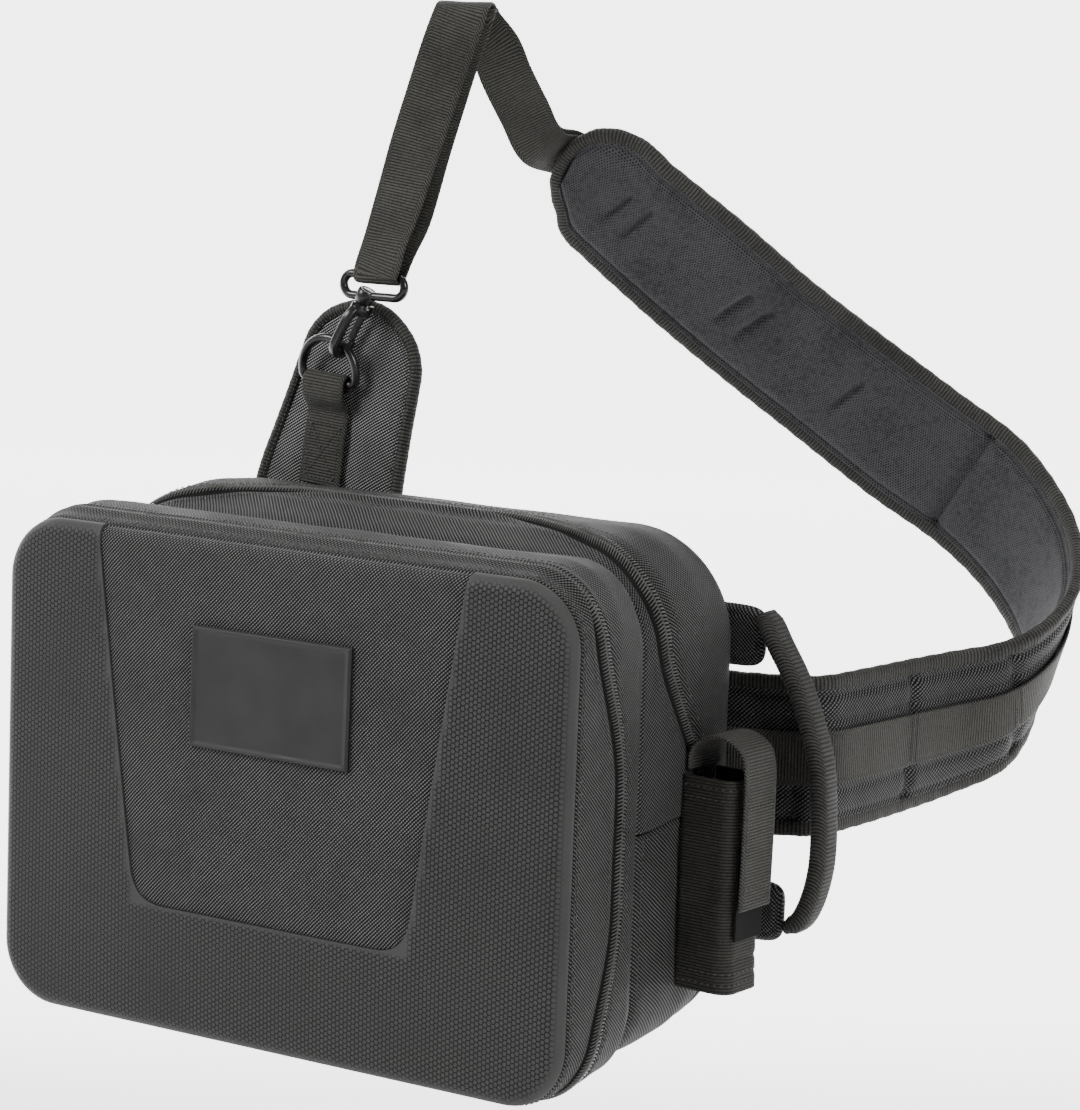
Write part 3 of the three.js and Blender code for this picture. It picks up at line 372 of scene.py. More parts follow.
# woven cloth: slanted lines of light dashes, period apart along either axis, painted in as highlights on the
# yarn crowns with painted shade in the gaps;
# height = (0.5 + 0.5 sin of one diagonal) * (0.62 + 0.38 sin of the other), both nudged by noise
def wovenCloth(name, dark, light, kind="UV", axes=(0, 1), slant=1, period=0.0018, sheen=0.03, rough=0.62,
        grain=0.00035):
    t = Tree(name, dark, rough)
    whole, axis = t.place(kind)
    a = t.math("DIVIDE", axis[axes[0]], period)
    b = t.math("DIVIDE", axis[axes[1]], period)
    drift = t.math("MULTIPLY", t.math("SUBTRACT", t.noise(t.place("Object")[0], 60.0, 2.0), 0.5), 0.7)
    lines = t.math("ADD", t.math("ADD", a, t.math("MULTIPLY", b, slant)), drift)
    dashes = t.math("SUBTRACT", a, t.math("MULTIPLY", b, slant))
    lineWave = t.ramp(t.math("SINE", t.math("MULTIPLY", lines, 2 * math.pi)), 0.0, 1.0, -1.0, 1.0)
    dashWave = t.ramp(t.math("SINE", t.math("MULTIPLY", dashes, 2 * math.pi)), 0.45, 1.0, -1.0, 1.0)
    height = t.math("MULTIPLY", lineWave, dashWave)
    mottle = t.noise(t.place("Object")[0], 22.0)
    patch = t.noise(t.place("Object")[0], 160.0, 2.0)
    # the weave's height painted into the colour: painted highlight on the raised yarns, painted shade in the
    # gaps between them
    shade = t.ramp(height, 0.0, 1.0, 0.3, 0.85)
    shade = t.math("MULTIPLY", shade, t.math("MULTIPLY", t.ramp(mottle, 0.82, 1.15, 0.32, 0.68),
            t.ramp(patch, 0.88, 1.1, 0.3, 0.7)))
    normal = t.bump(height, grain, 0.9, t.bump(mottle, 0.0022, 0.4))
    return t.finish(t.mix(shade, dark, light), t.ramp(mottle, rough - 0.07, rough + 0.1, 0.3, 0.7), normal,
        Sheen_Weight=sheen, Sheen_Roughness=0.4, Specular_IOR_Level=0.18)


# ribbed webbing: ribs across its width, slanted crossings in the edge stripes; the ribs' height is painted
# into the colour, a painted highlight on each rib and painted shade between them
def ribbedWebbing(name, dark, light, rib, halfWidth, edge=2.6, rough=0.62, depth=0.00035, sheen=0.03):
    t = Tree(name, dark, rough)
    whole, axis = t.place("UV")
    ribs = t.math("ABSOLUTE", t.math("SINE", t.math("MULTIPLY", axis[1], math.pi / rib)))
    yarns = t.math("ABSOLUTE", t.math("SINE", t.math("MULTIPLY", axis[0], math.pi / 0.0007)))
    side = t.math("ABSOLUTE", axis[0])
    slanted = t.math("ABSOLUTE", t.math("SINE", t.math("MULTIPLY",
            t.math("ADD", t.math("MULTIPLY", axis[1], 1.0), side), math.pi / 0.0016)))
    inEdge = t.ramp(side, 0.0, 1.0, (halfWidth - edge) / 1000, (halfWidth - edge + 0.25) / 1000)
    plain = t.math("ADD", t.math("MULTIPLY", ribs, 0.8), t.math("MULTIPLY", yarns, 0.2))
    height = t.math("ADD", t.math("MULTIPLY", plain, t.math("SUBTRACT", 1.0, inEdge)),
        t.math("MULTIPLY", slanted, inEdge))
    mottle = t.noise(t.place("Object")[0], 40.0)
    fine = t.noise(t.place("Object")[0], 1300.0, 1.0)
    # painted highlight on the rib crowns and painted shade in the grooves, times random mottling
    shade = t.math("MULTIPLY", t.ramp(height, 0.0, 1.0, 0.15, 1.0), t.ramp(mottle, 0.7, 1.25, 0.3, 0.7))
    shade = t.math("MULTIPLY", shade, t.ramp(fine, 0.6, 1.35, 0.3, 0.7))
    normal = t.bump(height, depth, 1.0, t.bump(mottle, 0.0008, 0.3))
    return t.finish(t.mix(shade, dark, light), t.ramp(mottle, rough - 0.06, rough + 0.1, 0.3, 0.7), normal,
        Sheen_Weight=sheen, Sheen_Roughness=0.35, Specular_IOR_Level=0.2)


# moulded foam: raised hexagons that fade where the emboss attribute falls to 0; painted shade darkens the
# grooves between them and a painted highlight lightens their middles
def hexFoam(name, dark, light, pitch):
    t = Tree(name, dark, 0.55)
    whole, axis = t.place("Object")
    inside = t.hexagons(axis[0], axis[2], pitch)
    raised = t.ramp(inside, 1.0, 0.0, 0.31, 0.47)
    fade = t.tree.nodes.new("ShaderNodeAttribute")
    fade.attribute_name = "emboss"
    height = t.math("MULTIPLY", raised, fade.outputs["Fac"])
    mottle = t.noise(whole, 18.0)
    fine = t.noise(whole, 1500.0, 2.0)
    # painted shade: the colour darkens in the grooves between the hexagons; painted highlight: it lightens
    # towards each hexagon's middle
    paintedGrooveShade = t.math("SUBTRACT", 1.0, t.math("MULTIPLY", t.math("SUBTRACT", 1.0, raised),
            fade.outputs["Fac"]))
    paintedShadeAndHighlight = t.math("ADD", paintedGrooveShade, t.math("MULTIPLY", t.ramp(inside, 0.35, 0.0, 0.0, 0.16),
            fade.outputs["Fac"]))
    shade = t.math("MULTIPLY", t.ramp(paintedShadeAndHighlight, 0.0, 1.0), t.ramp(mottle, 0.8, 1.15, 0.3, 0.7))
    normal = t.bump(height, 0.00045, 0.9, t.bump(fine, 0.00008, 0.5, t.bump(mottle, 0.001, 0.2)))
    return t.finish(t.mix(shade, dark, light), t.ramp(mottle, 0.5, 0.64, 0.3, 0.7), normal,
        Specular_IOR_Level=0.22)


# spacer mesh: small round holes on a hexagonal lattice, with painted shade darkening the holes
def knitMesh(name, dark, light, pitch):
    t = Tree(name, dark, 0.8)
    whole, axis = t.place("UV")
    inside = t.hexagons(axis[0], axis[1], pitch)
    # 0 in each hole's middle: as colour it is painted shade inside the holes, as height it is the knit's bump
    knitAndHoleShade = t.ramp(inside, 0.0, 1.0, 0.14, 0.34)
    mottle = t.noise(t.place("Object")[0], 30.0, 5.0, 0.65)
    fine = t.noise(t.place("Object")[0], 420.0, 3.0)
    shade = t.math("MULTIPLY", knitAndHoleShade, t.math("MULTIPLY", t.ramp(mottle, 0.72, 1.22, 0.3, 0.7),
            t.ramp(fine, 0.65, 1.3, 0.3, 0.7)))
    normal = t.bump(knitAndHoleShade, 0.0003, 0.8, t.bump(mottle, 0.002, 0.35))
    return t.finish(t.mix(shade, dark, light), None, normal, Sheen_Weight=0.08, Sheen_Roughness=0.5,
        Specular_IOR_Level=0.12)


# plain moulded plastic or rubber with a faint orange-peel and wear in its gloss
def mouldedPlastic(name, color, rough, grain=0.00004, specular=0.5, coat=0.0):
    t = Tree(name, color, rough)
    whole = t.place("Object")[0]
    fine = t.noise(whole, 900.0, 2.0)
    broad = t.noise(whole, 60.0)
    lighter = tuple(min(1, c * 1.8 + 0.004) for c in color)
    return t.finish(t.mix(t.ramp(broad, 0.0, 0.7, 0.35, 0.75), color, lighter),
        t.ramp(broad, rough - 0.08, rough + 0.12, 0.3, 0.7), t.bump(fine, grain, 0.6),
        Specular_IOR_Level=specular, Coat_Weight=coat, Coat_Roughness=0.25)


finishes = {
    "foam": hexFoam("shellFoam", (0.0055, 0.0055, 0.0055), (0.062, 0.0615, 0.0605), 0.00235),
    "frontWeave": wovenCloth("frontWeave", (0.0015, 0.0015, 0.0015), (0.2, 0.194, 0.194), "Object", (0, 2),
        -1),
    "wallWeave": wovenCloth("wallWeave", (0.0015, 0.0015, 0.0015), (0.165, 0.163, 0.161)),
    "shieldWeave": wovenCloth("shieldWeave", (0.004, 0.004, 0.004), (0.45, 0.45, 0.45), "UV", (0, 1), -1),
    "padWeave": wovenCloth("padWeave", (0.0015, 0.0015, 0.0015), (0.17, 0.17, 0.172), "UV", (0, 1), 1,
        0.002),
    "webbing": ribbedWebbing("webbing", (0.004, 0.004, 0.0036), (0.085, 0.083, 0.074), 0.0014, 12.5),
    "binding": ribbedWebbing("binding", (0.003, 0.003, 0.003), (0.075, 0.073, 0.067), 0.0017, 40.0),
    "handleRib": ribbedWebbing("handleRib", (0.004, 0.004, 0.0037), (0.062, 0.06, 0.055), 0.0019, 8.2, 3.2),
    "padMesh": knitMesh("padMesh", (0.003, 0.003, 0.0035), (0.078, 0.078, 0.083), 0.0014),
    "rubber": mouldedPlastic("badgeRubber", (0.019, 0.019, 0.0185), 0.55, 0.00005, 0.4),
    "plastic": mouldedPlastic("hardPlastic", (0.008, 0.008, 0.0085), 0.28, 0.00002, 0.5, 0.2),
    "coil": mouldedPlastic("zipperCoil", (0.085, 0.083, 0.078), 0.3, 0.00002, 0.5),
    "tape": mouldedPlastic("zipperTape", (0.006, 0.006, 0.006), 0.85, 0.0001, 0.2),
    "thread": mouldedPlastic("thread", (0.06, 0.059, 0.057), 0.55, 0.00005, 0.3),
    "darkThread": mouldedPlastic("darkThread", (0.02, 0.02, 0.019), 0.6, 0.00005, 0.3),
}
print("materials made")

# the bag's outline
body = {
    "width": 302, "height": 225, "rise": 11, "depth": 140, "corner": 30,
    "backStart": 124, "backInset": 13,
}
# depth, half, low, high, rise, low turn, high turn: the same shares as the solids
sectionRows = np.array([
    [0.00, 1.000, 0.000, 1.000, 0.00, 0.95, 0.95], [0.10, 1.003, -0.002, 1.012, 0.00, 0.97, 1.00],
    [0.25, 1.006, -0.003, 1.028, 0.00, 1.00, 1.05], [0.38, 1.000, 0.003, 1.016, 0.00, 1.02, 1.10],
    [0.457, 0.972, 0.020, 0.988, 0.00, 1.05, 1.15], [0.52, 0.984, 0.018, 0.992, 0.40, 1.10, 1.30],
    [0.62, 0.997, 0.018, 1.000, 0.80, 1.20, 1.42], [0.76, 1.010, 0.024, 1.003, 1.00, 1.25, 1.50],
    [0.89, 1.016, 0.040, 1.000, 0.95, 1.30, 1.68], [1.00, 1.010, 0.050, 0.995, 0.85, 1.30, 1.75],
])


# half width, bottom, top and corner radii at a depth, drawn in by an inset
def sectionAt(depth, inset=0.0):
    share = np.clip(np.asarray(depth, float) / body["depth"], 0, 1)
    half, low, high, rise, lowTurn, highTurn = (np.interp(share, sectionRows[:, 0], sectionRows[:, k])
        for k in range(1, 7))
    smallest = body["corner"] * 0.3
    return (half * body["width"] / 2 - inset, low * body["height"] + inset,
        high * body["height"] + rise * body["rise"] - inset,
        np.maximum(lowTurn * body["corner"] - inset, smallest),
        np.maximum(highTurn * body["corner"] - inset, smallest))


# a point of the outline at a station: 0 bottom middle, 0.2-0.3 low corner, 0.7-0.8 high corner, 1 top middle
def outlinePoint(station, depth, inset=0.0):
    station, depth, inset = np.broadcast_arrays(np.asarray(station, float), np.asarray(depth, float),
        np.asarray(inset, float))
    half, low, high, lowTurn, highTurn = sectionAt(depth, inset)
    side, s = np.where(station < 0, -1.0, 1.0), np.abs(station)
    lowAngle = np.clip((s - 0.2) / 0.1, 0, 1) * np.pi / 2
    highAngle = np.clip((s - 0.7) / 0.1, 0, 1) * np.pi / 2
    wall = np.clip((s - 0.3) / 0.4, 0, 1)
    spans = [s <= 0.2, s < 0.3, s <= 0.7, s < 0.8]
    x = np.select(spans, [(half - lowTurn) * s / 0.2, half - lowTurn * (1 - np.sin(lowAngle)),
            half, half - highTurn * (1 - np.cos(highAngle))], (half - highTurn) * (1 - s) / 0.2)
    z = np.select(spans, [low, low + lowTurn * (1 - np.cos(lowAngle)),
            low + lowTurn + (high - highTurn - low - lowTurn) * wall,
            high - highTurn * (1 - np.sin(highAngle))], high)
    return np.stack([side * x, depth, z], -1)


# stations with even steps of length round the outline, from one station to another
def evenStations(first, last, step, depth=64):
    fine = np.linspace(first, last, 4000)
    points = outlinePoint(fine, depth)
    length = np.concatenate([[0], np.cumsum(np.linalg.norm(np.diff(points, axis=0), axis=1))])
    count = max(int(round(length[-1] / step)), 8)
    return np.interp(np.linspace(0, length[-1], count + 1), length, fine)


def wrapStation(station):   # -1..1 becomes a run over the top: values past 1 come back on the left
    return np.where(station > 1, station - 2, np.where(station < -1, station + 2, station))


# depth of the front zipper's middle: eased from its foot to the wall, then to the top
def frontZip(station):
    s = np.abs(station)
    wall = 23 + (41 - 23) * easedStep(s, 0.24, 0.42)
    return wall + (18 - wall) * easedStep(s, 0.54, 0.75)


# depth of the main zipper's middle: eased from its end to the corner, then to the top
def mainZip(station):
    s = np.abs(station)
    corner = 118 + (76 - 118) * easedStep(s, 0.45, 0.74)
    return corner + (100 - corner) * easedStep(s, 0.74, 0.9)


coil = {"gap": 3.9, "closed": 0.5, "frontShut": (0.7, 0.76), "mainShut": (0.86, 0.94), "lip": 2.2}
wallPadding = {"edgeDip": 0.9, "edgeWide": 2.2, "wave": 0.9}
# the side seam's station on the hood and on the lower panel, and the depth of the main seam in front of both
seam = {"hood": 0.4943, "lower": 0.4915, "depth": 64.2}
insideBag = (0, 70, 112)


# half the opening over a coil: open on the walls, nearly shut over the top
def coilGap(station, shut):
    return coil["gap"] + (coil["closed"] - coil["gap"]) * easedStep(np.abs(station), *coil[shut])


# a cloth wall over stations and depths; its edges dip into the seams and its middle waves a little
def wallGrid(stations, front, back, count, proud=0.0, seed=1, frontDip=1.0, backDip=1.0, frontLip=None,
        backLip=None):
    s = wrapStation(stations)
    share = 0.5 - 0.5 * np.cos(np.linspace(0, np.pi, count))
    d = front(s)[:, None] + (back(s) - front(s))[:, None] * share[None]
    fromFront, fromBack = d - front(s)[:, None], back(s)[:, None] - d
    dip = wallPadding["edgeDip"] * (frontDip * (1 - easedStep(fromFront, 0, wallPadding["edgeWide"]))
        + backDip * (1 - easedStep(fromBack, 0, wallPadding["edgeWide"])))
    plain = outlinePoint(s[:, None], d)
    calm = easedStep(fromFront, 0, 9) * easedStep(fromBack, 0, 9)
    waves = ripple(plain, 75, seed) + 0.4 * ripple(plain, 28, seed + 1)
    inset = dip - proud - wallPadding["wave"] * calm * waves
    # a rolled lip where the coil is covered
    for shut, away in ((frontLip, fromFront), (backLip, fromBack)):
        if shut:
            rolled = easedStep(np.abs(s), *coil[shut])[:, None]
            inset = (inset - coil["lip"] * rolled * (1 - easedStep(away, 0.5, 7))
                + wallPadding["edgeDip"] * rolled * (1 - easedStep(away, 0, 1.2)) * 0.6)
    points = outlinePoint(s[:, None], d, inset)
    run = np.concatenate([[0], np.cumsum(np.linalg.norm(np.diff(plain[:, count // 2], axis=0), axis=1))])
    uv = np.stack([np.repeat(run[:, None], count, 1), d], -1)
    return points, uv


# a wall's grid made a cloth sheet of one thickness
def wallPiece(name, stations, front, back, count, looped, replaces, material="wallWeave", wall=1.5, **more):
    points, uv = wallGrid(stations, front, back, count, **more)
    if looped:
        uv = np.concatenate([uv, uv[-1:] + (uv[-1:] - uv[-2:-1]) * [1, 0]])
    return clothSheet(name, points, uv, wall, insideBag, [finishes[material]], "bag_fabric",
        wrapRows=looped, replaces=replaces)


ring = evenStations(-1, 1, 2.2)[:-1]
coilEnd = 0.195
onCoil = lambda s: np.where(np.abs(s) > coilEnd, coilGap(s, "frontShut"), 0.15)
flatAt = lambda depth: lambda s: np.full(s.shape, depth)
wallPiece("frontGusset", ring, flatAt(3.45), lambda s: frontZip(s) - onCoil(s), 22, True, ["front_gusset"],
    seed=3, frontDip=1.9, backLip="frontShut")
wallPiece("valleyGusset", ring, lambda s: frontZip(s) + onCoil(s), flatAt(63.8), 26, True,
    ["valley_gusset"], seed=5, backDip=1.3, frontLip="frontShut")
upper = np.concatenate([evenStations(-seam["hood"], -1, 2.2), evenStations(1, seam["hood"], 2.2)[1:]])
lower = evenStations(-seam["lower"], seam["lower"], 2.2)
rimDepth = lambda s: 123.1 + (mainZip(s) + coilGap(s, "mainShut") - 123.1) * easedStep(np.abs(s), 0.472,
    0.492)
wallPiece("hoodPanel", upper, flatAt(seam["depth"]), lambda s: mainZip(s) - coilGap(s, "mainShut"), 30, False,
    ["hood_panel"], seed=7, backLip="mainShut")
wallPiece("lowerPanel", lower, flatAt(seam["depth"]), lambda s: rimDepth(s) - 0.3, 30, False, ["lower_panel"],
    seed=9)
print("walls made")


# back shell: wall, rolled edge and flat back, closed in the middle
def backShell():
    stations = evenStations(-1, 1, 2.4)[:-1]
    start, inset, depth = body["backStart"], body["backInset"], body["depth"]
    rings = []
    for share in (0, 0.03, 0.08, 0.16, 0.26, 0.38, 0.5, 0.62, 0.74, 0.86, 1):
        d = rimDepth(stations) + (start - rimDepth(stations)) * share
        rolled = easedStep(np.abs(stations), *coil["mainShut"])
        dip = 0.9 * (1 - easedStep(share, 0, 0.12)) - coil["lip"] * rolled * (1 - easedStep(share, 0, 0.3))
        rings.append(outlinePoint(stations, d, dip))
    for turn in np.linspace(0.15, 1, 9) * np.pi / 2:
        points = outlinePoint(stations, start, inset * (1 - math.cos(turn)))
        points[:, 1] = start + (depth - start) * math.sin(turn)
        rings.append(points)
    for share in np.linspace(0.05, 0.8, 16):
        points = outlinePoint(stations, start, inset + share * body["height"] / 2)
        points[:, 1] = depth
        rings.append(points)
    points = np.stack(rings, 1)
    last = points[:, -1]
    middle = last * [0.35, 1, 0] + [0, 0, 112]
    for share in (0.35, 0.7, 1.0):
        points = np.concatenate([points, (last + (middle - last) * share)[:, None]], 1)
    wavy = points.copy()
    calm = easedStep(np.arange(points.shape[1]), 1, 6)[None]
    push = ripple(points, 80, 11) * 0.9 * calm * (1 - easedStep(points[..., 1], start, depth))
    outward = unit((points - [0, 0, 112]) * [1, 0, 1.3])
    wavy += outward * push[..., None]
    run = np.concatenate([[0], np.cumsum(np.linalg.norm(np.diff(points[:, 7], axis=0), axis=1))])
    steps = np.linalg.norm(np.diff(points, axis=1), axis=2)
    deep = np.cumsum(np.concatenate([points[:, :1, 1], steps], 1), 1)
    uv = np.stack(np.broadcast_arrays(run[:, None], deep), -1)
    uv = np.concatenate([uv, uv[-1:] + (uv[-1:] - uv[-2:-1]) * [1, 0]])
    flat = points[..., 1] > depth - 0.5
    uv[:-1][flat] = points[..., [0, 2]][flat]
    return clothSheet("backShell", wavy, uv, 1.6, (0, 60, 112), [finishes["wallWeave"]], "bag_fabric",
        wrapRows=True, replaces=["back_shell"])


backShell()


# moulded front: tray less the panel's opening
front = {
    "depth": 4, "roll": 7.5, "rise": 6, "dome": 2, "wall": 2.4, "sink": 1.0,
    "topHalf": 98, "lowHalf": 73, "bottom": 58, "radius": 16,
}


# how far back the face lies: a quarter-round roll at the edge and a shallow dome
def faceDepth(x, z, inset):
    roll = np.sqrt(1 - (1 - np.clip(inset / front["roll"], 0, 1)) ** 2)
    across, up = x / (body["width"] / 2), (z - body["height"] / 2) / (body["height"] / 2)
    return front["depth"] - front["rise"] * roll - front["dome"] * (1 - across ** 2) * (1 - up ** 2)


# distance in from the front's rounded outline
def insetFromOutline(x, z):
    half, low, high, lowTurn, highTurn = sectionAt(4.0)
    turn = np.where(z > (low + high) / 2, highTurn, lowTurn)
    qx, qz = np.abs(x) - (half - turn), np.abs(z - (low + high) / 2) - ((high - low) / 2 - turn)
    away = np.hypot(np.maximum(qx, 0), np.maximum(qz, 0)) + np.minimum(np.maximum(qx, qz), 0) - turn
    return -away


# a grid over the rounded rectangle: rings of a square, their corners turned with a radius that grows outwards
def roundedGrid(inset):
    half, low, high, lowTurn, highTurn = (float(v) for v in sectionAt(4.0, inset))
    a, b = half, (high - low) / 2
    rings = 1 - np.concatenate([[0, 0.12, 0.35, 0.8, 1.5, 2.4, 3.6, 5, 6.6, 8.2],
            np.linspace(10, b, 44)]) / b
    steps = np.concatenate([-rings, rings[::-1][1:]])
    u, v = np.meshgrid(steps, steps, indexing="ij")
    m = np.maximum(np.abs(u), np.abs(v))
    radius = np.where(v > 0, highTurn, lowTurn) * easedStep(m, 0.45, 1)
    x, z = np.abs(u) * a, np.abs(v) * b
    safe = np.maximum(radius, 1e-6)
    onTop = np.abs(v) >= np.abs(u)
    tx = np.clip((x - (a * m - radius)) / safe, 0, 1) * np.pi / 4
    tz = np.clip((z - (b * m - radius)) / safe, 0, 1) * np.pi / 4
    turnX = onTop & (x > a * m - radius) & (radius > 0)
    turnZ = ~onTop & (z > b * m - radius) & (radius > 0)
    newX = np.where(turnX, a * m - radius + radius * np.sin(tx),
        np.where(turnZ, a * m - radius + radius * np.cos(tz), x))
    newZ = np.where(turnX, b * m - radius + radius * np.cos(tx),
        np.where(turnZ, b * m - radius + radius * np.sin(tz), z))
    return newX * np.sign(u), newZ * np.sign(v) + (low + high) / 2


# the tray's outer and inner skin, face depth plus a sink, joined round the rim
def trayMesh(sink, pillow=0.0):
    def skin(drop, deeper, soft):
        x, z = roundedGrid(drop)
        y = faceDepth(x, z, insetFromOutline(x, z) - drop) + deeper
        if soft:
            edge = np.minimum(panelHalf(z) - np.abs(x), z - front["bottom"])
            y = y - soft * easedStep(edge, 0, 7)
            y = y - 0.4 * ripple(np.stack([x, 0 * x, z], -1), 60, 21) * easedStep(edge, 0, 20)
        return np.stack([x, np.minimum(y, 3.7), z], -1)
    outer, inner = skin(sink, sink, pillow), skin(front["wall"], front["wall"], 0)
    rows, cols = outer.shape[:2]
    quads, uvQuads = gridFaces(rows, cols)
    number = np.arange(rows * cols).reshape(rows, cols)
    rim = gridRim(number)
    sides = np.stack([rim, np.roll(rim, -1), np.roll(rim, -1) + rows * cols, rim + rows * cols], 1)
    points = np.concatenate([outer.reshape(-1, 3), inner.reshape(-1, 3)])
    return points, np.concatenate([quads, quads[:, ::-1] + rows * cols, sides[:, ::-1]])


# half width of the panel at a height: a straight line from its bottom to its top
def panelHalf(z, margin=0.0):
    slope = (front["topHalf"] - front["lowHalf"]) / (body["height"] - front["bottom"])
    return front["lowHalf"] + slope * (z - front["bottom"]) + margin


# the opening's outline, its lower corners rounded by quadratic curves
def openingOutline(margin):
    low, radius = front["bottom"] - margin, front["radius"] + margin
    t = np.linspace(0, 1, 14)
    start, corner, end = (np.array(p) for p in ((panelHalf(low + radius, margin), low + radius),
            (panelHalf(low, margin), low), (panelHalf(low, margin) - radius, low)))
    curve = (1 - t)[:, None] ** 2 * start + 2 * (t * (1 - t))[:, None] * corner + t[:, None] ** 2 * end
    right = np.concatenate([[[panelHalf(270, margin), 270]], curve])
    return np.concatenate([right, right[::-1] * [-1, 1]])


# an outline carried straight back from one depth to another
def prismObject(outline, nearY, farY):
    count = len(outline)
    points = np.concatenate([np.insert(outline, 1, nearY, axis=1), np.insert(outline, 1, farY, axis=1)])
    ringIndex = np.arange(count)
    faces = [list(ringIndex), list(ringIndex[::-1] + count)]
    faces += [[int(i), int((i + 1) % count), int((i + 1) % count + count), int(i + count)]
        for i in ringIndex]
    mesh = bpy.data.meshes.new("opening")
    mesh.from_pydata(toRow(points).tolist(), [], faces)
    prism = bpy.data.objects.new("opening", mesh)
    bpy.context.scene.collection.objects.link(prism)
    turnOutwards(mesh)
    return prism


# doubles merged and normals recalculated, so that the faces point outwards
def turnOutwards(mesh):
    b = bmesh.new()
    b.from_mesh(mesh)
    bmesh.ops.remove_doubles(b, verts=b.verts, dist=1e-6)
    bmesh.ops.recalc_face_normals(b, faces=b.faces)
    b.to_mesh(mesh)
    b.free()


# the part of a tray inside the prism, or outside it
def keepWithin(piece, prism, operation):
    cut = piece.modifiers.new("cut", "BOOLEAN")
    cut.operation, cut.solver, cut.object = operation, "FAST", prism
    graph = bpy.context.evaluated_depsgraph_get()
    mesh = bpy.data.meshes.new_from_object(piece.evaluated_get(graph))
    piece.modifiers.clear()
    piece.data = mesh
    mesh.set_sharp_from_angle(angle=math.radians(38))
    bpy.data.objects.remove(prism)


# a tray cut by the panel's opening, with its body, slot and node
def trayPiece(name, sink, pillow, material, node, margin, operation):
    points, faces = trayMesh(sink, pillow)
    faces = faces.tolist()
    mesh = bpy.data.meshes.new(name)
    mesh.from_pydata(toRow(points).tolist(), [], faces)
    mesh.materials.append(finishes[material])
    turnOutwards(mesh)
    mesh.polygons.foreach_set("use_smooth", np.ones(len(mesh.polygons), bool))
    piece = bpy.data.objects.new(name, mesh)
    bpy.context.scene.collection.objects.link(piece)
    keepWithin(piece, prismObject(openingOutline(margin), -60, 60), operation)
    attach(piece, "bag")
    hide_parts(node)
    return piece


shell = trayPiece("frontShell", 0.0, 0.0, "foam", "front_shell", 0.3, "DIFFERENCE")
co = np.zeros(len(shell.data.vertices) * 3, np.float32)
shell.data.vertices.foreach_get("co", co)
co = co.reshape(-1, 3) * 1000 - bagShift
away = insetFromOutline(co[:, 0], co[:, 2])
edge = np.maximum(np.abs(co[:, 0]) - panelHalf(co[:, 2]), front["bottom"] - co[:, 2])
emboss = easedStep(away, 1.0, 5.5) * easedStep(edge, 1.2, 2.5)
shell.data.attributes.new("emboss", "FLOAT", "POINT").data.foreach_set("value", emboss.astype(np.float32))
trayPiece("centrePanel", front["sink"], 0.9, "frontWeave", "centre_panel", 0.0, "INTERSECT")
print("front made")


# badge: blank label with a raised border
badge = {"width": 85, "height": 54, "middle": 160.5, "plate": 2.2, "border": 2.2, "lip": 0.8}


# a plate over the face: depth less the plate, with a raised band along its edge
def badgePiece():
    steps = lambda half: np.concatenate([[-half, -half + 0.25, -half + 0.7],
            np.linspace(-half + 1.2, half - 1.2, 60), [half - 0.7, half - 0.25, half]])
    x, z = np.meshgrid(steps(badge["width"] / 2), steps(badge["height"] / 2), indexing="ij")
    fromEdge = np.minimum(badge["width"] / 2 - np.abs(x), badge["height"] / 2 - np.abs(z))
    pastBand = easedStep(fromEdge, badge["border"] - 0.5, badge["border"] + 0.3)
    raised = easedStep(fromEdge, 0, 0.6) * badge["lip"] * (1 - pastBand)
    lift = badge["plate"] - 0.5 * (1 - easedStep(fromEdge, 0, 0.5)) + raised
    px, pz = x, z + badge["middle"]
    base = faceDepth(px, pz, np.full(px.shape, 50.0)) + front["sink"] - 0.3
    top = np.stack([px, base - lift, pz], -1)
    low = np.stack([px, base, pz], -1)
    rows, cols = px.shape
    quads, uvQuads = gridFaces(rows, cols)
    points = np.concatenate([top.reshape(-1, 3), low.reshape(-1, 3)])
    number = np.arange(rows * cols).reshape(rows, cols)
    rim = gridRim(number)
    sides = np.stack([rim, np.roll(rim, -1), np.roll(rim, -1) + rows * cols, rim + rows * cols], 1)
    faces = np.concatenate([quads, quads[:, ::-1] + rows * cols, sides[:, ::-1]])
    if heldVolume(points, faces) < 0:
        faces = faces[:, ::-1]
    uv = points[faces][..., [0, 2]]
    meshPiece("badge", points, [(faces, uv, 0)], [finishes["rubber"]], "badge_rubber", replaces=["badge"])


badgePiece()


# zippers: tape under a row of interlocked coil turns
zipper = {"pitch": 1.6, "half": 3.8, "thick": 1.7, "proud": 0.4, "tapeSink": 0.9, "tapeRise": 0.3}


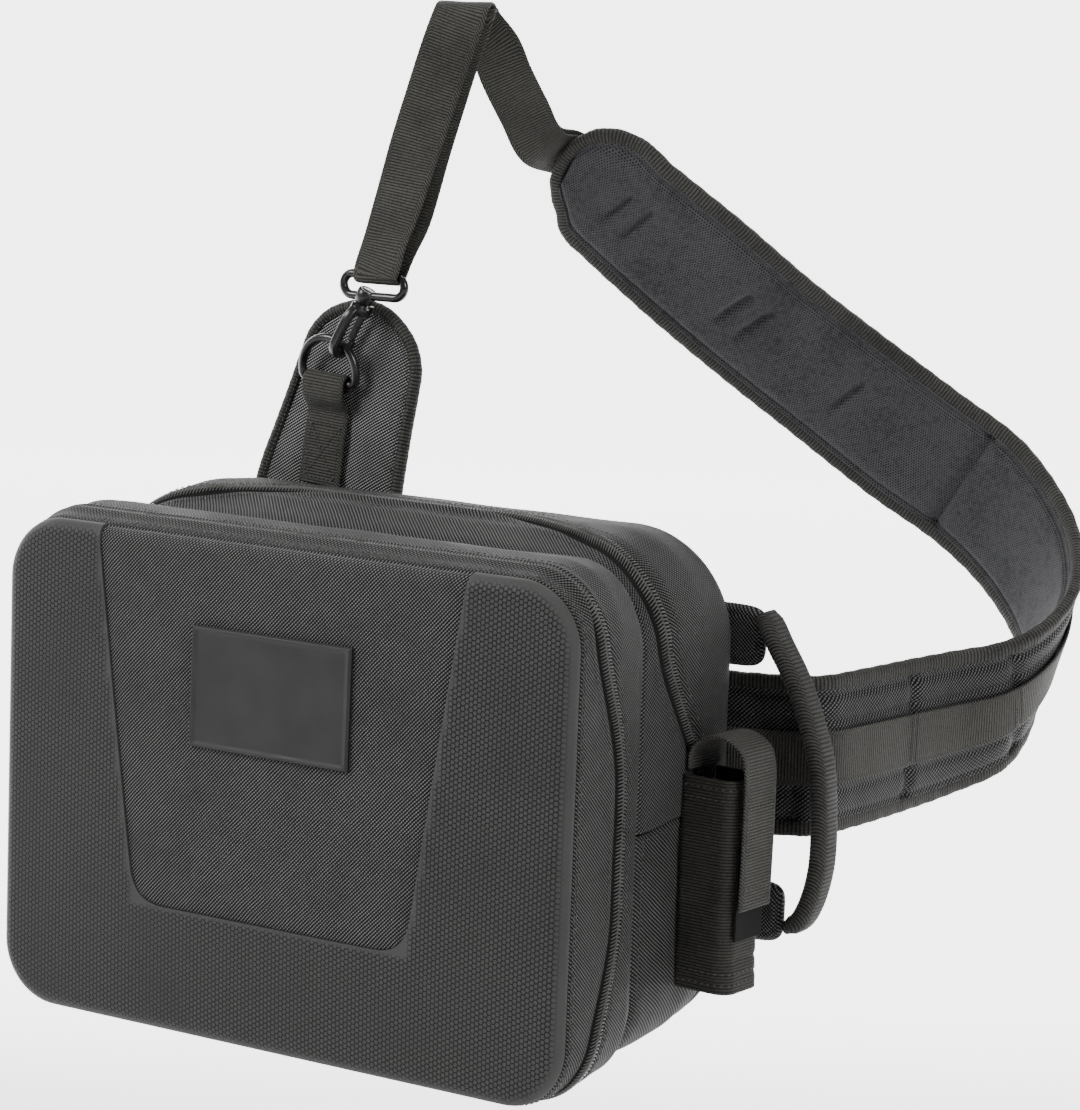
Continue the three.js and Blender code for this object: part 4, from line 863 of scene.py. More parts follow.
# each coil turn is a bent bar of four rings, over a tape that rises under it
def zipperTurns(name, stations, middle, node):
    s = wrapStation(stations)
    point = lambda dDepth, out: outlinePoint(s, middle(s) + dDepth, -out)
    centre = point(0, zipper["proud"])
    far = np.concatenate([[0], np.cumsum(np.linalg.norm(np.diff(centre, axis=0), axis=1))])
    spots = np.arange(0.5, far[-1] - 0.5, zipper["pitch"])
    pick = lambda values: np.stack([np.interp(spots, far, values[:, k]) for k in range(3)], 1)
    mid = pick(centre)
    across = unit(pick(point(3, zipper["proud"]) - point(-3, zipper["proud"])))
    along = unit(pick(np.gradient(centre, axis=0)))
    normal = unit(np.cross(along, across))
    outward = unit(pick(point(0, 2) - point(0, 0)))
    normal = normal * np.sign(np.sum(normal * outward, 1, keepdims=True))
    points, faces, count = [], [], 0
    for side in (-1, 1):
        shiftAlong = 0.25 * zipper["pitch"] * side
        rings = []
        for reach, lift, half in ((-0.55, 0.75, 0.3), (0.6, 1.0, 0.42), (2.0, 0.85, 0.42),
                (zipper["half"], 0.15, 0.3)):
            shift, rise = shiftAlong + 0.26 * reach, lift * zipper["thick"] / 2
            c = mid + across * side * reach + along * shift + normal * rise
            ringPoints = [c + along * half, c + normal * 0.42, c - along * half, c - normal * 0.42]
            rings.append(np.stack(ringPoints, 1))
        block = np.stack(rings, 1)   # turns, rings, corners, xyz
        turns = len(spots)
        base = np.arange(turns)[:, None] * 16
        quads = []
        for r in range(3):
            for k in range(4):
                quads.append([r * 4 + k, r * 4 + (k + 1) % 4, (r + 1) * 4 + (k + 1) % 4, (r + 1) * 4 + k])
        quads += [[3, 2, 1, 0], [12, 13, 14, 15]]
        quads = (np.array(quads)[None] + base[:, :, None]).reshape(-1, 4)
        flat = block.reshape(-1, 3)
        if heldVolume(flat, quads) < 0:
            quads = quads[:, ::-1]
        points.append(flat)
        faces.append(quads + count)
        count += len(flat)
    points, faces = np.concatenate(points), np.concatenate(faces)
    meshPiece(name + "Coil", points, [(faces, np.zeros((len(faces), 4, 2)), 0)], [finishes["coil"]],
        "zipper_coil", replaces=[node])
    d = np.linspace(-5.2, 5.2, 17)
    # the coil rests on it
    inset = -zipper["tapeRise"] + (zipper["tapeSink"] + zipper["tapeRise"]) * easedStep(np.abs(d), 3.6, 5.2)
    tape = outlinePoint(s[:, None], middle(s)[:, None] + d[None], inset[None])
    uv = np.stack(np.broadcast_arrays(far[:, None], d[None]), -1)
    clothSheet(name + "Tape", tape, uv, 0.5, insideBag, [finishes["tape"]], "zipper_coil")


frontStations = np.concatenate([evenStations(-0.197, -1, 2.0, 30), evenStations(1, 0.197, 2.0, 30)[1:]])
zipperTurns("frontZip", frontStations, frontZip, "front_zipper")
zipperTurns("mainZip", upper, mainZip, "main_zipper")
print("zippers made")


# seams: rows of thread round the outline
def outlineStitches(stations, depth, lift=0.0, **more):
    s = wrapStation(stations)
    at = outlinePoint(s, depth(s), -lift)
    outward = unit(outlinePoint(s, depth(s), -2) - outlinePoint(s, depth(s), 0))
    return stitchRow(at, np.gradient(at, axis=0), outward, **more)


# rows of thread at set depths and beside both zippers
def bagStitches():
    fineRing = evenStations(-1, 0.9999, 1.2)
    rows = [
        outlineStitches(fineRing, flatAt(6.3), pitch=2.6, length=1.7, thick=0.9),
        outlineStitches(fineRing, flatAt(8.0), pitch=2.6, length=1.7, thick=0.9),
        outlineStitches(upper, lambda s: mainZip(s) - 9.0),
        outlineStitches(upper, lambda s: mainZip(s) + 9.0),
        outlineStitches(frontStations, lambda s: frontZip(s) - 8.5),
        outlineStitches(frontStations, lambda s: frontZip(s) + 8.5),
        outlineStitches(lower, flatAt(68.0)),
    ]
    for side in (-1, 1):
        d = np.linspace(66, 112, 60)
        at = outlinePoint(side * seam["lower"] - side * 0.006, d)
        rows.append(stitchRow(at, np.gradient(at, axis=0), np.repeat([[side, 0, 0]], 60, 0)))
    stitchPiece("bagStitches", rows, finishes["thread"])


bagStitches()


# tool holder
tool = {
    "depth": 107, "width": 28, "reach": 27, "bottom": 38, "height": 95, "bend": 7, "wall": 1.8,
    "flapWidth": 25, "flapRise": 18, "flapDrop": 57,
}
wallAt = lambda side: sectionAt(tool["depth"] + side * tool["width"] / 2)[0]
toolTurn = math.atan2(wallAt(1) - wallAt(-1), tool["width"])
toolFoot = np.array([sectionAt(tool["depth"])[0] + 0.6, tool["depth"], tool["bottom"]])


def onTool(points):   # out from the wall, along it and up, turned with the wall
    c, s = math.cos(-toolTurn), math.sin(-toolTurn)
    x, y, z = points[..., 0], points[..., 1], points[..., 2]
    return np.stack([c * x - s * y, s * x + c * y, z], -1) + toolFoot


# a U round the wall by its height, with a slight bulge and two folds low down
def sheathPiece():
    reach, half, bend = tool["reach"], tool["width"] / 2, tool["bend"]
    corner = np.linspace(0, np.pi / 2, 10)
    route = np.concatenate([
            np.stack([np.linspace(0.2, reach - bend, 12), np.full(12, -half)], 1),
            np.stack([reach - bend + bend * np.sin(corner), -half + bend - bend * np.cos(corner)], 1)[1:],
            np.stack([np.full(10, reach), np.linspace(-half + bend, half - bend, 12)[1:-1]], 1),
            np.stack([reach - bend + bend * np.cos(corner), half - bend + bend * np.sin(corner)], 1),
            np.stack([np.linspace(reach - bend, 0.2, 12)[1:], np.full(11, half)], 1),
        ])
    z = np.concatenate([[0, 0.5, 1.2], np.linspace(3, tool["height"] - 3, 40),
            [tool["height"] - 1.2, tool["height"] - 0.5, tool["height"]]])
    run = np.concatenate([[0], np.cumsum(np.linalg.norm(np.diff(route, axis=0), axis=1))])
    points = np.zeros((len(route), len(z), 3))
    points[..., :2], points[..., 2] = route[:, None], z[None]
    middle = np.sin(np.clip(run / run[-1], 0, 1) * np.pi)[:, None]
    points[..., 0] += 1.1 * middle * ripple(points, 45, 31)
    points[..., 1] += 0.8 * middle * ripple(points, 50, 33) * np.sign(points[..., 1])
    folds = sum(np.exp(-((z[None] - low - 1.5 * np.sin(run[:, None] / 9)) / 1.1) ** 2)
        for low in (9.5, 15.0))
    points[..., 0] -= 1.0 * middle * folds
    uv = np.stack(np.broadcast_arrays(run[:, None] - run[-1] / 2, z[None]), -1)
    clothSheet("toolSheath", onTool(points), uv, tool["wall"], onTool(np.array([12.0, 0, 45])),
        [finishes["sheathWeave"]], "webbing", replaces=["tool_sheath"])
    rows = []
    for height in (4, 9, tool["height"] - 4, tool["height"] - 9):
        at = np.zeros((len(route), 3))
        at[:, :2], at[:, 2] = route, height
        side = unit(np.gradient(at, axis=0))
        rows.append(stitchRow(onTool(at), np.gradient(onTool(at), axis=0),
                np.cross(side, np.array([0, 0, 1.0]))))
    stitchPiece("sheathStitches", rows, finishes["thread"])


# a flat strip that arches over the sheath's mouth and hangs down outside
def flapPiece():
    top = tool["height"] + tool["flapRise"]
    out = tool["reach"] + 0.6 + 1.2 + tool["wall"]
    route = np.array([[1.8, 0, tool["height"] + 2], [1.8, 0, top - 9], [4.5, 0, top - 4], [10, 0, top - 1],
            [17, 0, top], [out - 7, 0, top - 2],
            [out - 2, 0, top - 6], [out, 0, top - 13],
            [out + 0.5, 0, tool["height"] - tool["flapDrop"] / 2],
            [out, 0, tool["height"] - tool["flapDrop"]]])
    line = smoothLine(onTool(route), np.repeat([onTool(np.array([0, 1.0, 0])) - toolFoot], len(route), 0),
        1.2)
    piece = carriedBody("toolFlap", line["at"], line["wide"], stripProfile(tool["flapWidth"], tool["wall"]),
        [finishes["webbing"]], "webbing", replaces=["tool_flap"])
    rows = edgeStitches(line, line["far"] > line["far"][-1] - 52, 10.2, lift=1.0)
    for fromEnd in (3, 9, 46):
        k = int(np.argmin(np.abs(line["far"] - (line["far"][-1] - fromEnd))))
        w = np.linspace(-10.2, 10.2, 20)[:, None]
        at = line["at"][k] + line["wide"][k] * w
        for sign in (-1, 1):
            rows.append(stitchRow(at, np.repeat(line["wide"][k][None], 20, 0),
                    np.repeat(sign * line["out"][k][None], 20, 0), lift=1.0))
    stitchPiece("flapStitches", rows, finishes["thread"])


finishes["sheathWeave"] = ribbedWebbing("sheathWeave", (0.004, 0.004, 0.0035), (0.05, 0.048, 0.042), 0.0014,
    60.0)
sheathPiece()
flapPiece()


# handle and its anchors
handleRows = np.array([
    [1.0, 0.24], [0.96, 0.32], [0.90, 0.43], [0.82, 0.59], [0.73, 0.73], [0.64, 0.84], [0.55, 0.93],
    [0.46, 0.97], [0.37, 0.99], [0.28, 1.00], [0.19, 0.98], [0.09, 0.90], [0.03, 0.80], [0.00, 0.66],
])
handle = {"top": 199, "bottom": 59, "reach": 45, "wide": 16, "thick": 9, "plane": 144.8}


# a rounded strip along the handle's rows, narrower at both ends and ribbed
def handlePiece():
    at = np.stack([151 + handleRows[:, 1] * handle["reach"], np.full(len(handleRows), handle["plane"]),
            handle["bottom"] + (handle["top"] - handle["bottom"]) * handleRows[:, 0]], 1)
    line = smoothLine(at, np.repeat([[0, 1.0, 0]], len(at), 0), 1.0)
    turn = np.linspace(0, 2 * np.pi, 36, endpoint=False)
    profile = np.stack([np.sign(np.cos(turn)) * np.abs(np.cos(turn)) ** 0.55 * handle["wide"] / 2,
            np.sign(np.sin(turn)) * np.abs(np.sin(turn)) ** 0.8 * handle["thick"] / 2], 1)
    scallop = 1 - 0.03 * (0.5 + 0.5 * np.cos(line["far"] * 2 * np.pi / 1.9))
    fromEnd = np.minimum(line["far"], line["far"][-1] - line["far"])
    narrow = np.stack([0.78 + 0.22 * easedStep(fromEnd, 0, 8), 0.68 + 0.32 * easedStep(fromEnd, 0, 5)],
        1)[:, None]
    carriedBody("handle", line["at"], line["wide"], profile[None] * narrow * scallop[:, None, None],
        [finishes["handleRib"]], "webbing", replaces=["handle"])
    rows = edgeStitches(line, fromEnd > 11, 6.0, lift=3.35, pitch=3.0)
    stitchPiece("handleStitches", rows, finishes["thread"])


# rings from a rounded outline to its spine: puffed by a quarter circle, with a seam dip
def anchorPiece(name, node, height, right):
    end = 151 + handle["reach"] * right - handle["thick"] / 2
    width, tall, thick, radius = 62, 28, 9, 5
    middle = np.array([end - width / 2, 140.3 + thick / 2, height])
    turn = np.linspace(0, 2 * np.pi, 160, endpoint=False)
    c, s = np.cos(turn), np.sin(turn)
    outline = np.stack([np.sign(c) * np.abs(c) ** 0.28 * width / 2,
            np.sign(s) * np.abs(s) ** 0.4 * tall / 2], 1)
    t = np.concatenate([[0, 0.02, 0.06, 0.12, 0.2], np.linspace(0.3, 1, 12)])
    puff = np.sqrt(np.clip(1 - (1 - np.clip(t * 2.4, 0, 1)) ** 2, 0, 1)) * thick / 2
    seam = 0.8 * np.exp(-((t - 0.3) / 0.05) ** 2)
    spine = outline * [0.72, 0.0]
    flat = outline[:, None] + (spine - outline)[:, None] * t[None, :, None]
    front, back = np.zeros((160, len(t), 3)), np.zeros((160, len(t), 3))
    for grid, sign in ((front, -1), (back, 1)):
        grid[..., 0], grid[..., 2] = flat[..., 0], flat[..., 1]
        grid[..., 1] = sign * np.maximum(puff - seam * (sign < 0), 0)
    rings = np.concatenate([front[:, ::-1], back[:, 1:]], 1) + middle
    rows, cols = rings.shape[:2]
    quads, uvQuads = gridFaces(rows, cols, True)
    points = rings.reshape(-1, 3)
    if heldVolume(points, quads) < 0:
        quads = quads[:, ::-1]
    piece = meshPiece(name, points, [(quads, points[quads][..., [0, 2]], 0)], [finishes["wallWeave"]],
        "bag_fabric", replaces=[node])


handlePiece()
anchorPiece("anchorUpper", "handle_anchor_upper", handle["top"] - 28 * 0.4, 0.35)
anchorPiece("anchorLower", "handle_anchor_lower", handle["bottom"] + 28 * 0.2, 0.697)
print("right side made")

# shield tab, its binding, ring webbing and D-ring
shield = {
    "middle": -77.5, "half": 41.5, "height": 93, "hidden": 42, "thick": 5, "lean": 13.5, "tilt": 3,
    "bind": 6, "bindThick": 6.5,
    "ringMiddle": -81, "ringLean": 4.5, "ringUp": 51, "wire": 4, "ringHalf": 15.5, "ringHeight": 25.5,
    "forward": 13, "ringShift": 1,
}
shieldRows = np.array([
    [0, 1], [0.22, 0.94], [0.44, 0.88], [0.66, 0.83], [0.77, 0.79], [0.88, 0.64], [0.96, 0.39],
    [1, 0.14],
])
shieldDepth = 140 + 0.9 + (shield["bindThick"] - shield["thick"]) / 2
shieldFoot = 225 + 11 - 4 - shield["hidden"]


# leans about Y, then tilts back about X, from the hidden foot
def onShield(points, middle, lean):
    a, b = math.radians(lean), -math.radians(shield["tilt"])
    x, y, z = points[..., 0], points[..., 1], points[..., 2] + shield["hidden"]
    x, z = x * math.cos(a) + z * math.sin(a), -x * math.sin(a) + z * math.cos(a)
    y, z = y * math.cos(b) - z * math.sin(b), y * math.sin(b) + z * math.cos(b)
    return np.stack([x + middle - shield["hidden"] * math.sin(a), y + shieldDepth, z + shieldFoot], -1)


# the shield's rows mirrored and smoothed
def shieldOutline(inset, count=150):
    top, half = shield["height"] - inset, shield["half"] - inset
    right = np.concatenate([[[half, -shield["hidden"]]],
            np.stack([shieldRows[:, 1] * half, shieldRows[:, 0] * top], 1)])
    whole = np.concatenate([right, (right * [-1, 1])[::-1]])
    line = smoothLine(np.insert(whole, 1, 0, axis=1), np.repeat([[0, 1.0, 0]], len(whole), 0), 1.6)
    return line["at"][:, [0, 2]]


# the padded tab, its binding along the outline, and its stitches
def shieldPieces():
    outline = shieldOutline(shield["bind"] * 0.55)
    t = np.concatenate([[0, 0.03, 0.08, 0.14, 0.2, 0.27], np.linspace(0.35, 1, 12)])
    spineHeight = np.clip(outline[:, 1], -shield["hidden"], shield["height"] - 36)
    spine = np.stack([outline[:, 0] * 0.0, spineHeight], 1)
    flat = outline[:, None] + (spine - outline)[:, None] * t[None, :, None]
    near, far = np.zeros((*flat.shape[:2], 3)), np.zeros((*flat.shape[:2], 3))
    puff = np.sin(np.clip(t / 0.6, 0, 1) * np.pi / 2)
    for grid, sign in ((near, -1), (far, 1)):
        grid[..., 0], grid[..., 2] = flat[..., 0], flat[..., 1]
        fall = easedStep(flat[..., 1], -6, 14) if sign < 0 else 0.4
        swell = 0.8 + 1.9 * puff[None] * fall
        wave = 0.5 * ripple(grid, 45, 41) * puff[None]
        x, z = flat[..., 0], flat[..., 1]
        webDent = np.exp(-((x + 3) / 14) ** 2) * np.exp(-((z - 20) / 30) ** 2) * (sign < 0) * 1.6
        grid[..., 1] = shield["thick"] / 2 + sign * (swell + wave - webDent)
    rings = np.concatenate([near[:, ::-1], far], 1)
    rows, cols = rings.shape[:2]
    quads, uvQuads = gridFaces(rows, cols, True)
    points = onShield(rings.reshape(-1, 3), shield["middle"], shield["lean"])
    if heldVolume(points, quads) < 0:
        quads = quads[:, ::-1]
    uv = rings.reshape(-1, 3)[quads][..., [0, 2]]
    tab = meshPiece("shieldTab", points, [(quads, uv, 0)], [finishes["shieldWeave"]], "bag_fabric",
        replaces=["shield_tab"])
    edge = shieldOutline(shield["bind"] / 2)
    route = onShield(np.stack([edge[:, 0], np.full(len(edge), shield["thick"] / 2), edge[:, 1]], 1),
        shield["middle"], shield["lean"])
    wide = onShield(np.array([[0, 1.0, 0]]), 0, shield["lean"]) - onShield(np.zeros((1, 3)), 0,
        shield["lean"])
    pucker = 1 + 0.03 * np.sin(np.arange(len(route)) * 1.9)[:, None, None]
    carriedBody("shieldBinding", route, np.repeat(wide, len(route), 0),
        roundProfile(shield["bindThick"] - 0.2, shield["bind"] - 0.2)[None] * pucker,
        [finishes["binding"]], "webbing", replaces=["shield_binding"])
    inner = shieldOutline(shield["bind"] * 0.95)
    seam = onShield(np.stack([inner[:, 0], np.full(len(inner), -1.0), inner[:, 1]], 1), shield["middle"],
        shield["lean"])
    stitchPiece("shieldStitches", [stitchRow(seam, np.gradient(seam, axis=0),
            np.repeat(-wide, len(seam), 0), pitch=2.6, length=1.9)], finishes["thread"])


barDepth = -(shield["wire"] / 2 + 0.9 + 1.8)


# a strip up the tab, round the ring's bar and down behind it
def ringWebbing():
    turn = shield["wire"] / 2 + 0.6 + 0.9
    up = shield["ringUp"]
    start = [[0, -1.2, 1], [0, -1.2, up - 28], [0, -1.2, up - 14], [0, barDepth - turn + 1.2, up - 8],
        [0, barDepth - turn, up - 3]]
    a = np.linspace(0, np.pi, 10)
    bend = np.stack([a * 0, barDepth - turn * np.cos(a), up + turn * np.sin(a)], 1)
    route = np.concatenate([start, bend, [[0, barDepth + turn, up - 4]]])
    place = lambda p: onShield(np.asarray(p, float), shield["ringMiddle"], shield["ringLean"])
    wide = place([[1.0, 0, 0]]) - place([[0, 0, 0]])
    line = smoothLine(place(route), np.repeat(wide, len(route), 0), 0.8)
    carriedBody("ringWebbing", line["at"], line["wide"], stripProfile(23.5, 1.7), [finishes["webbing"]],
        "webbing", replaces=["ring_webbing"])
    # a boxed cross of stitches on the sewn stretch
    left, right, low, high = -8.5, 8.5, 4.0, 30.0
    a, b, c, d = (left, low), (right, low), (left, high), (right, high)
    lines = [(a, d), (b, c), (c, d), (a, b), (a, c), (b, d)]
    rows = []
    for (x0, z0), (x1, z1) in lines:
        t = np.linspace(0, 1, 30)
        at = place(np.stack([x0 + (x1 - x0) * t, np.full(30, -2.1), z0 + (z1 - z0) * t], 1))
        rows.append(stitchRow(at, np.gradient(at, axis=0),
                np.repeat(place([[0, -1.0, 0]]) - place([[0, 0, 0]]), 30, 0), pitch=2.4, length=1.9))
    stitchPiece("ringStitches", rows, finishes["thread"])


def onBow(points):   # the ring's own plane: turned forward about its bar
    a = math.radians(shield["forward"])
    x, y, z = points[..., 0], points[..., 1], points[..., 2]
    turned = np.stack([x + shield["ringShift"], y * math.cos(a) - z * math.sin(a) + barDepth,
            y * math.sin(a) + z * math.cos(a) + shield["ringUp"]], -1)
    return onShield(turned, shield["ringMiddle"], shield["ringLean"])


bowFoot = 5.5
bowPoint = lambda turn: np.stack([shield["ringHalf"] * np.cos(turn), 0 * turn,
        bowFoot + (shield["ringHeight"] - shield["wire"] - bowFoot) * np.sin(turn)], -1)


# a round wire along the bar, round both feet and over half an ellipse
def dRing():
    corner = shield["wire"] * 0.8
    straight = shield["ringHalf"] - corner
    a = np.radians([20, 45, 70])
    foot = lambda side, turn: np.stack([side * (straight + corner * np.sin(turn)), 0 * turn,
            corner - corner * np.cos(turn)], -1)
    route = np.concatenate([np.stack([np.linspace(-1, 1, 9) * straight, np.zeros(9), np.zeros(9)], 1),
            foot(1, a), bowPoint(np.linspace(0, np.pi, 41)), foot(-1, a[::-1])])
    wide = onBow(np.array([[0, 1.0, 0]])) - onBow(np.zeros((1, 3)))
    carriedBody("dRing", onBow(route), np.repeat(wide, len(route), 0),
        roundProfile(shield["wire"], shield["wire"], 16), [finishes["plastic"]], "hardware_plastic",
        looped=True, replaces=["d_ring"])


shieldPieces()
ringWebbing()
dRing()
print("shield made")

# strap ring, swivel hook, gate
hook = {
    "lean": 28, "length": 27, "onRing": 60, "inner": 8.8, "thick": 4.2, "wide": 4.4, "wire": 4.2,
    "ringInner": 30, "slot": 6, "shift": 4.5,
    "boss": 4.6, "bossHeight": 6.4, "gateThick": 2, "gateWide": 3.6,
}
lean = math.radians(hook["lean"])
hookAlong = np.array([math.sin(lean), 0, math.cos(lean)])
hookSide = np.array([math.cos(lean), 0, -math.sin(lean)])
bossMiddle = onBow(bowPoint(np.radians([hook["onRing"]])))[0] + hookAlong * hook["length"]
barApart = hook["slot"] + hook["wire"]
strapRingMiddle = bossMiddle + [hook["shift"], 0, barApart / 2]
highBar = strapRingMiddle + [0, 0, barApart / 2]


def onHook(points):   # x sideways, y back, z up the hook's own axis
    points = np.asarray(points, float)
    x, y, z = points[..., :1], points[..., 1:2], points[..., 2:]
    return x * hookSide + y * np.array([0, 1.0, 0]) + z * hookAlong + bossMiddle


# a turned body: radius and height rows swept round the hook's axis
def turnedBody(name, rows, body, node=None, count=40):
    rows = np.asarray(rows, float)
    turn = np.linspace(0, 2 * np.pi, count, endpoint=False)
    local = np.stack([rows[:, :1] * np.cos(turn), rows[:, :1] * np.sin(turn),
            np.repeat(rows[:, 1:], count, 1)], -1)
    points = onHook(local).reshape(-1, 3)
    quads, uvQuads = gridFaces(len(rows), count, False, True)
    if heldVolume(points, quads) < 0:
        quads = quads[:, ::-1]
    meshPiece(name, points, [(quads, np.zeros((len(quads), 4, 2)), 0)], [finishes["plastic"]],
        "hardware_plastic", body=body, replaces=[node] if node else ())


# a round wire along two bars joined by half circles, with the bored boss
def strapRing():
    end = barApart / 2
    straight = (hook["ringInner"] + hook["wire"]) / 2 - end
    a = np.linspace(-np.pi / 2, np.pi / 2, 15)
    arc = lambda side: np.stack([side * (straight + end * np.cos(a)), 0 * a, end * np.sin(a)], 1)
    lineX = np.linspace(-1, 1, 11)[1:-1] * straight
    route = np.concatenate([np.stack([lineX, 0 * lineX, 0 * lineX - end], 1), arc(1),
            np.stack([-lineX, 0 * lineX, 0 * lineX + end], 1), arc(-1)[::-1]]) + strapRingMiddle
    carriedBody("strapRing", route, np.repeat([[0, 1.0, 0]], len(route), 0),
        roundProfile(hook["wire"], hook["wire"], 16), [finishes["plastic"]], "hardware_plastic",
        looped=True, replaces=["strap_ring"])
    b, h = hook["boss"], hook["bossHeight"] / 2
    turnedBody("ringBoss", [[2.5, -h], [b - 0.6, -h], [b, -h + 0.6], [b, h - 0.6], [b - 0.6, h], [3.3, h],
            [3.3, h - 1.5], [2.5, h - 1.5], [2.5, -h]], "bag")


# a turned pin, a strip that runs down and bends into the hook, two ears and the gate
def hookPieces():
    neck = -hook["bossHeight"] / 2 - 0.3
    head = hook["bossHeight"] / 2 - 1.5 + 0.3
    turnedBody("hookPin", [[0.01, neck - 6], [3.9, neck - 6], [4.3, neck - 5.4], [4.5, neck - 2.4],
            [4.1, neck - 1.9], [3.2, neck - 1.7], [3.2, neck], [2.2, neck],
            [2.2, head], [3.0, head], [3.0, head + 0.8], [2.5, head + 1.2],
            [0.01, head + 1.2]], "swivel_hook", "hook")
    bend = -hook["length"] + (hook["inner"] - 4) / 2 - 0.75
    radius = (hook["inner"] + hook["thick"]) / 2
    turn = np.linspace(0, np.pi, 17)
    route = np.concatenate([[[0, -radius * 0.55, neck - 3.5], [0, -radius * 0.86, neck - 6],
            [0, -radius, neck - 9]],
            np.stack([0 * turn, -radius * np.cos(turn), bend - radius * np.sin(turn)], 1)])
    line = smoothLine(onHook(route), np.repeat([hookSide], len(route), 0), 0.8)
    taper = 1 - 0.12 * easedStep(line["far"], line["far"][-1] - 8, line["far"][-1])
    profile = stripProfile(hook["wide"], hook["thick"], 24, 0.6, 0.6)[None] * taper[:, None, None]
    carriedBody("hookSpine", line["at"], line["wide"], profile, [finishes["plastic"]],
        "hardware_plastic", body="swivel_hook")
    gateTop, gateLow = neck - 5.6, bend + 0.9
    plane = (hook["inner"] + hook["gateThick"]) / 2
    for side in (-1, 1):
        x = side * (hook["gateWide"] / 2 + 0.3 + 0.7)
        z = np.linspace(gateTop - 2.0, gateTop + 4.4, 12)
        ear = onHook(np.stack([np.full(12, x), np.full(12, plane - 0.4), z], 1))
        carriedBody("gateEarLeft" if side < 0 else "gateEarRight", ear, np.repeat([[0, 1.0, 0]], 12, 0),
            stripProfile(3.4, 1.3, 20, 0.6, 0.6), [finishes["plastic"]], "hardware_plastic",
            body="swivel_hook")
    z = np.linspace(gateLow, gateTop, 24)
    leaf = onHook(np.stack([0 * z, np.full(24, plane), z], 1))
    carriedBody("hookGate", leaf, np.repeat([hookSide], 24, 0),
        stripProfile(hook["gateWide"], hook["gateThick"], 24, 0.5, 0.6), [finishes["plastic"]],
        "hardware_plastic", body="hook_gate", replaces=["gate"])


strapRing()
hookPieces()
print("hook made")

# sling
sling = {"reach": 75, "depth": 210, "rise": 226, "layerGap": 2.0, "layerShift": 4, "web": 1.8,
    "padWidth": 72.5, "padThick": 10, "bind": 7, "bindThick": 6, "tip": 30}
webRows = np.array([
    [-2.601, -0.003, 0.485, 1, 0, 0], [-2.589, 0.013, 0.527, 1, 0.05, 0],
    [-2.560, 0.033, 0.597, 0.97, 0.2, 0], [-2.540, 0.073, 0.705, 0.9, 0.4, 0],
    [-2.486, 0.098, 0.806, 0.87, 0.48, 0], [-2.412, 0.117, 0.911, 0.853, 0.522, 0],
    [-2.377, 0.132, 0.962, 0.853, 0.522, 0], [-2.366, 0.144, 0.984, 0.853, 0.522, 0],
    [-2.380, 0.168, 0.993, 0.853, 0.522, 0], [-2.392, 0.193, 0.984, 0.853, 0.522, 0],
    [-2.381, 0.205, 0.962, 0.853, 0.522, 0], [-2.264, 0.232, 0.908, 0.82, 0.52, 0.15],
    [-2.215, 0.254, 0.855, 0.76, 0.51, 0.35], [-2.175, 0.310, 0.783, 0.7, 0.45, 0.5],
    [-2.142, 0.372, 0.714, 0.73, 0.3, 0.56],
])
padRows = np.array([
    [-2.042, 0.425, 0.672, 0.78, -0.05, 0.58], [-1.880, 0.460, 0.640, 0.79, -0.10, 0.56],
    [-1.705, 0.494, 0.582, 0.79, -0.14, 0.57], [-1.321, 0.589, 0.460, 0.76, -0.08, 0.65],
    [-1.012, 0.716, 0.342, 0.77, -0.07, 0.63], [-0.648, 0.849, 0.220, 0.72, -0.08, 0.69],
    [-0.217, 0.956, 0.096, 0.63, -0.08, 0.77], [0.267, 1.005, -0.012, 0.59, -0.14, 0.79],
    [0.685, 0.971, -0.134, 0.64, -0.32, 0.69], [0.920, 0.893, -0.235, 0.57, -0.47, 0.70],
    [1.005, 0.785, -0.325, 0.36, -0.49, 0.78], [0.925, 0.655, -0.397, 0.16, -0.38, 0.90],
    [0.723, 0.528, -0.428, 0.09, -0.23, 0.97], [0.603, 0.390, -0.440, 0.05, -0.10, 0.99],
    [0.513, 0.232, -0.446, 0.02, -0.01, 1], [0.400, 0.104, -0.450, 0, 0, 1],
    [0.080, 0.055, -0.452, 0, 0, 1], [-0.350, 0.040, -0.455, 0, 0, 1], [-0.800, 0.038, -0.455, 0, 0, 1],
])
slingPlace = lambda rows: np.stack([151 + rows[:, 0] * sling["reach"], 140 + rows[:, 1] * sling["depth"],
        236 + rows[:, 2] * sling["rise"]], 1)
padLine = smoothLine(slingPlace(padRows), padRows[:, 3:], 2.0)
layerApart = (sling["layerGap"] + sling["web"]) / 2
keeperBar = sling["layerGap"] - 0.9
keeperSlot = sling["web"] + 1.2
keeperHalf = keeperBar / 2 + keeperSlot + 2
webLift = sling["padThick"] / 2 + 0.3 + keeperHalf
ends = [padLine["at"][0] + padLine["out"][0] * webLift,
    padLine["at"][10] + padLine["out"][10] * (webLift + 0.6)]
strapStart = highBar + [2.8, 0, 0]
webLine = smoothLine(np.concatenate([[strapStart], slingPlace(webRows), ends]),
    np.concatenate([[[1, 0, 0]], webRows[:, 3:], padLine["wide"][[0, 10]]]), 1.1)


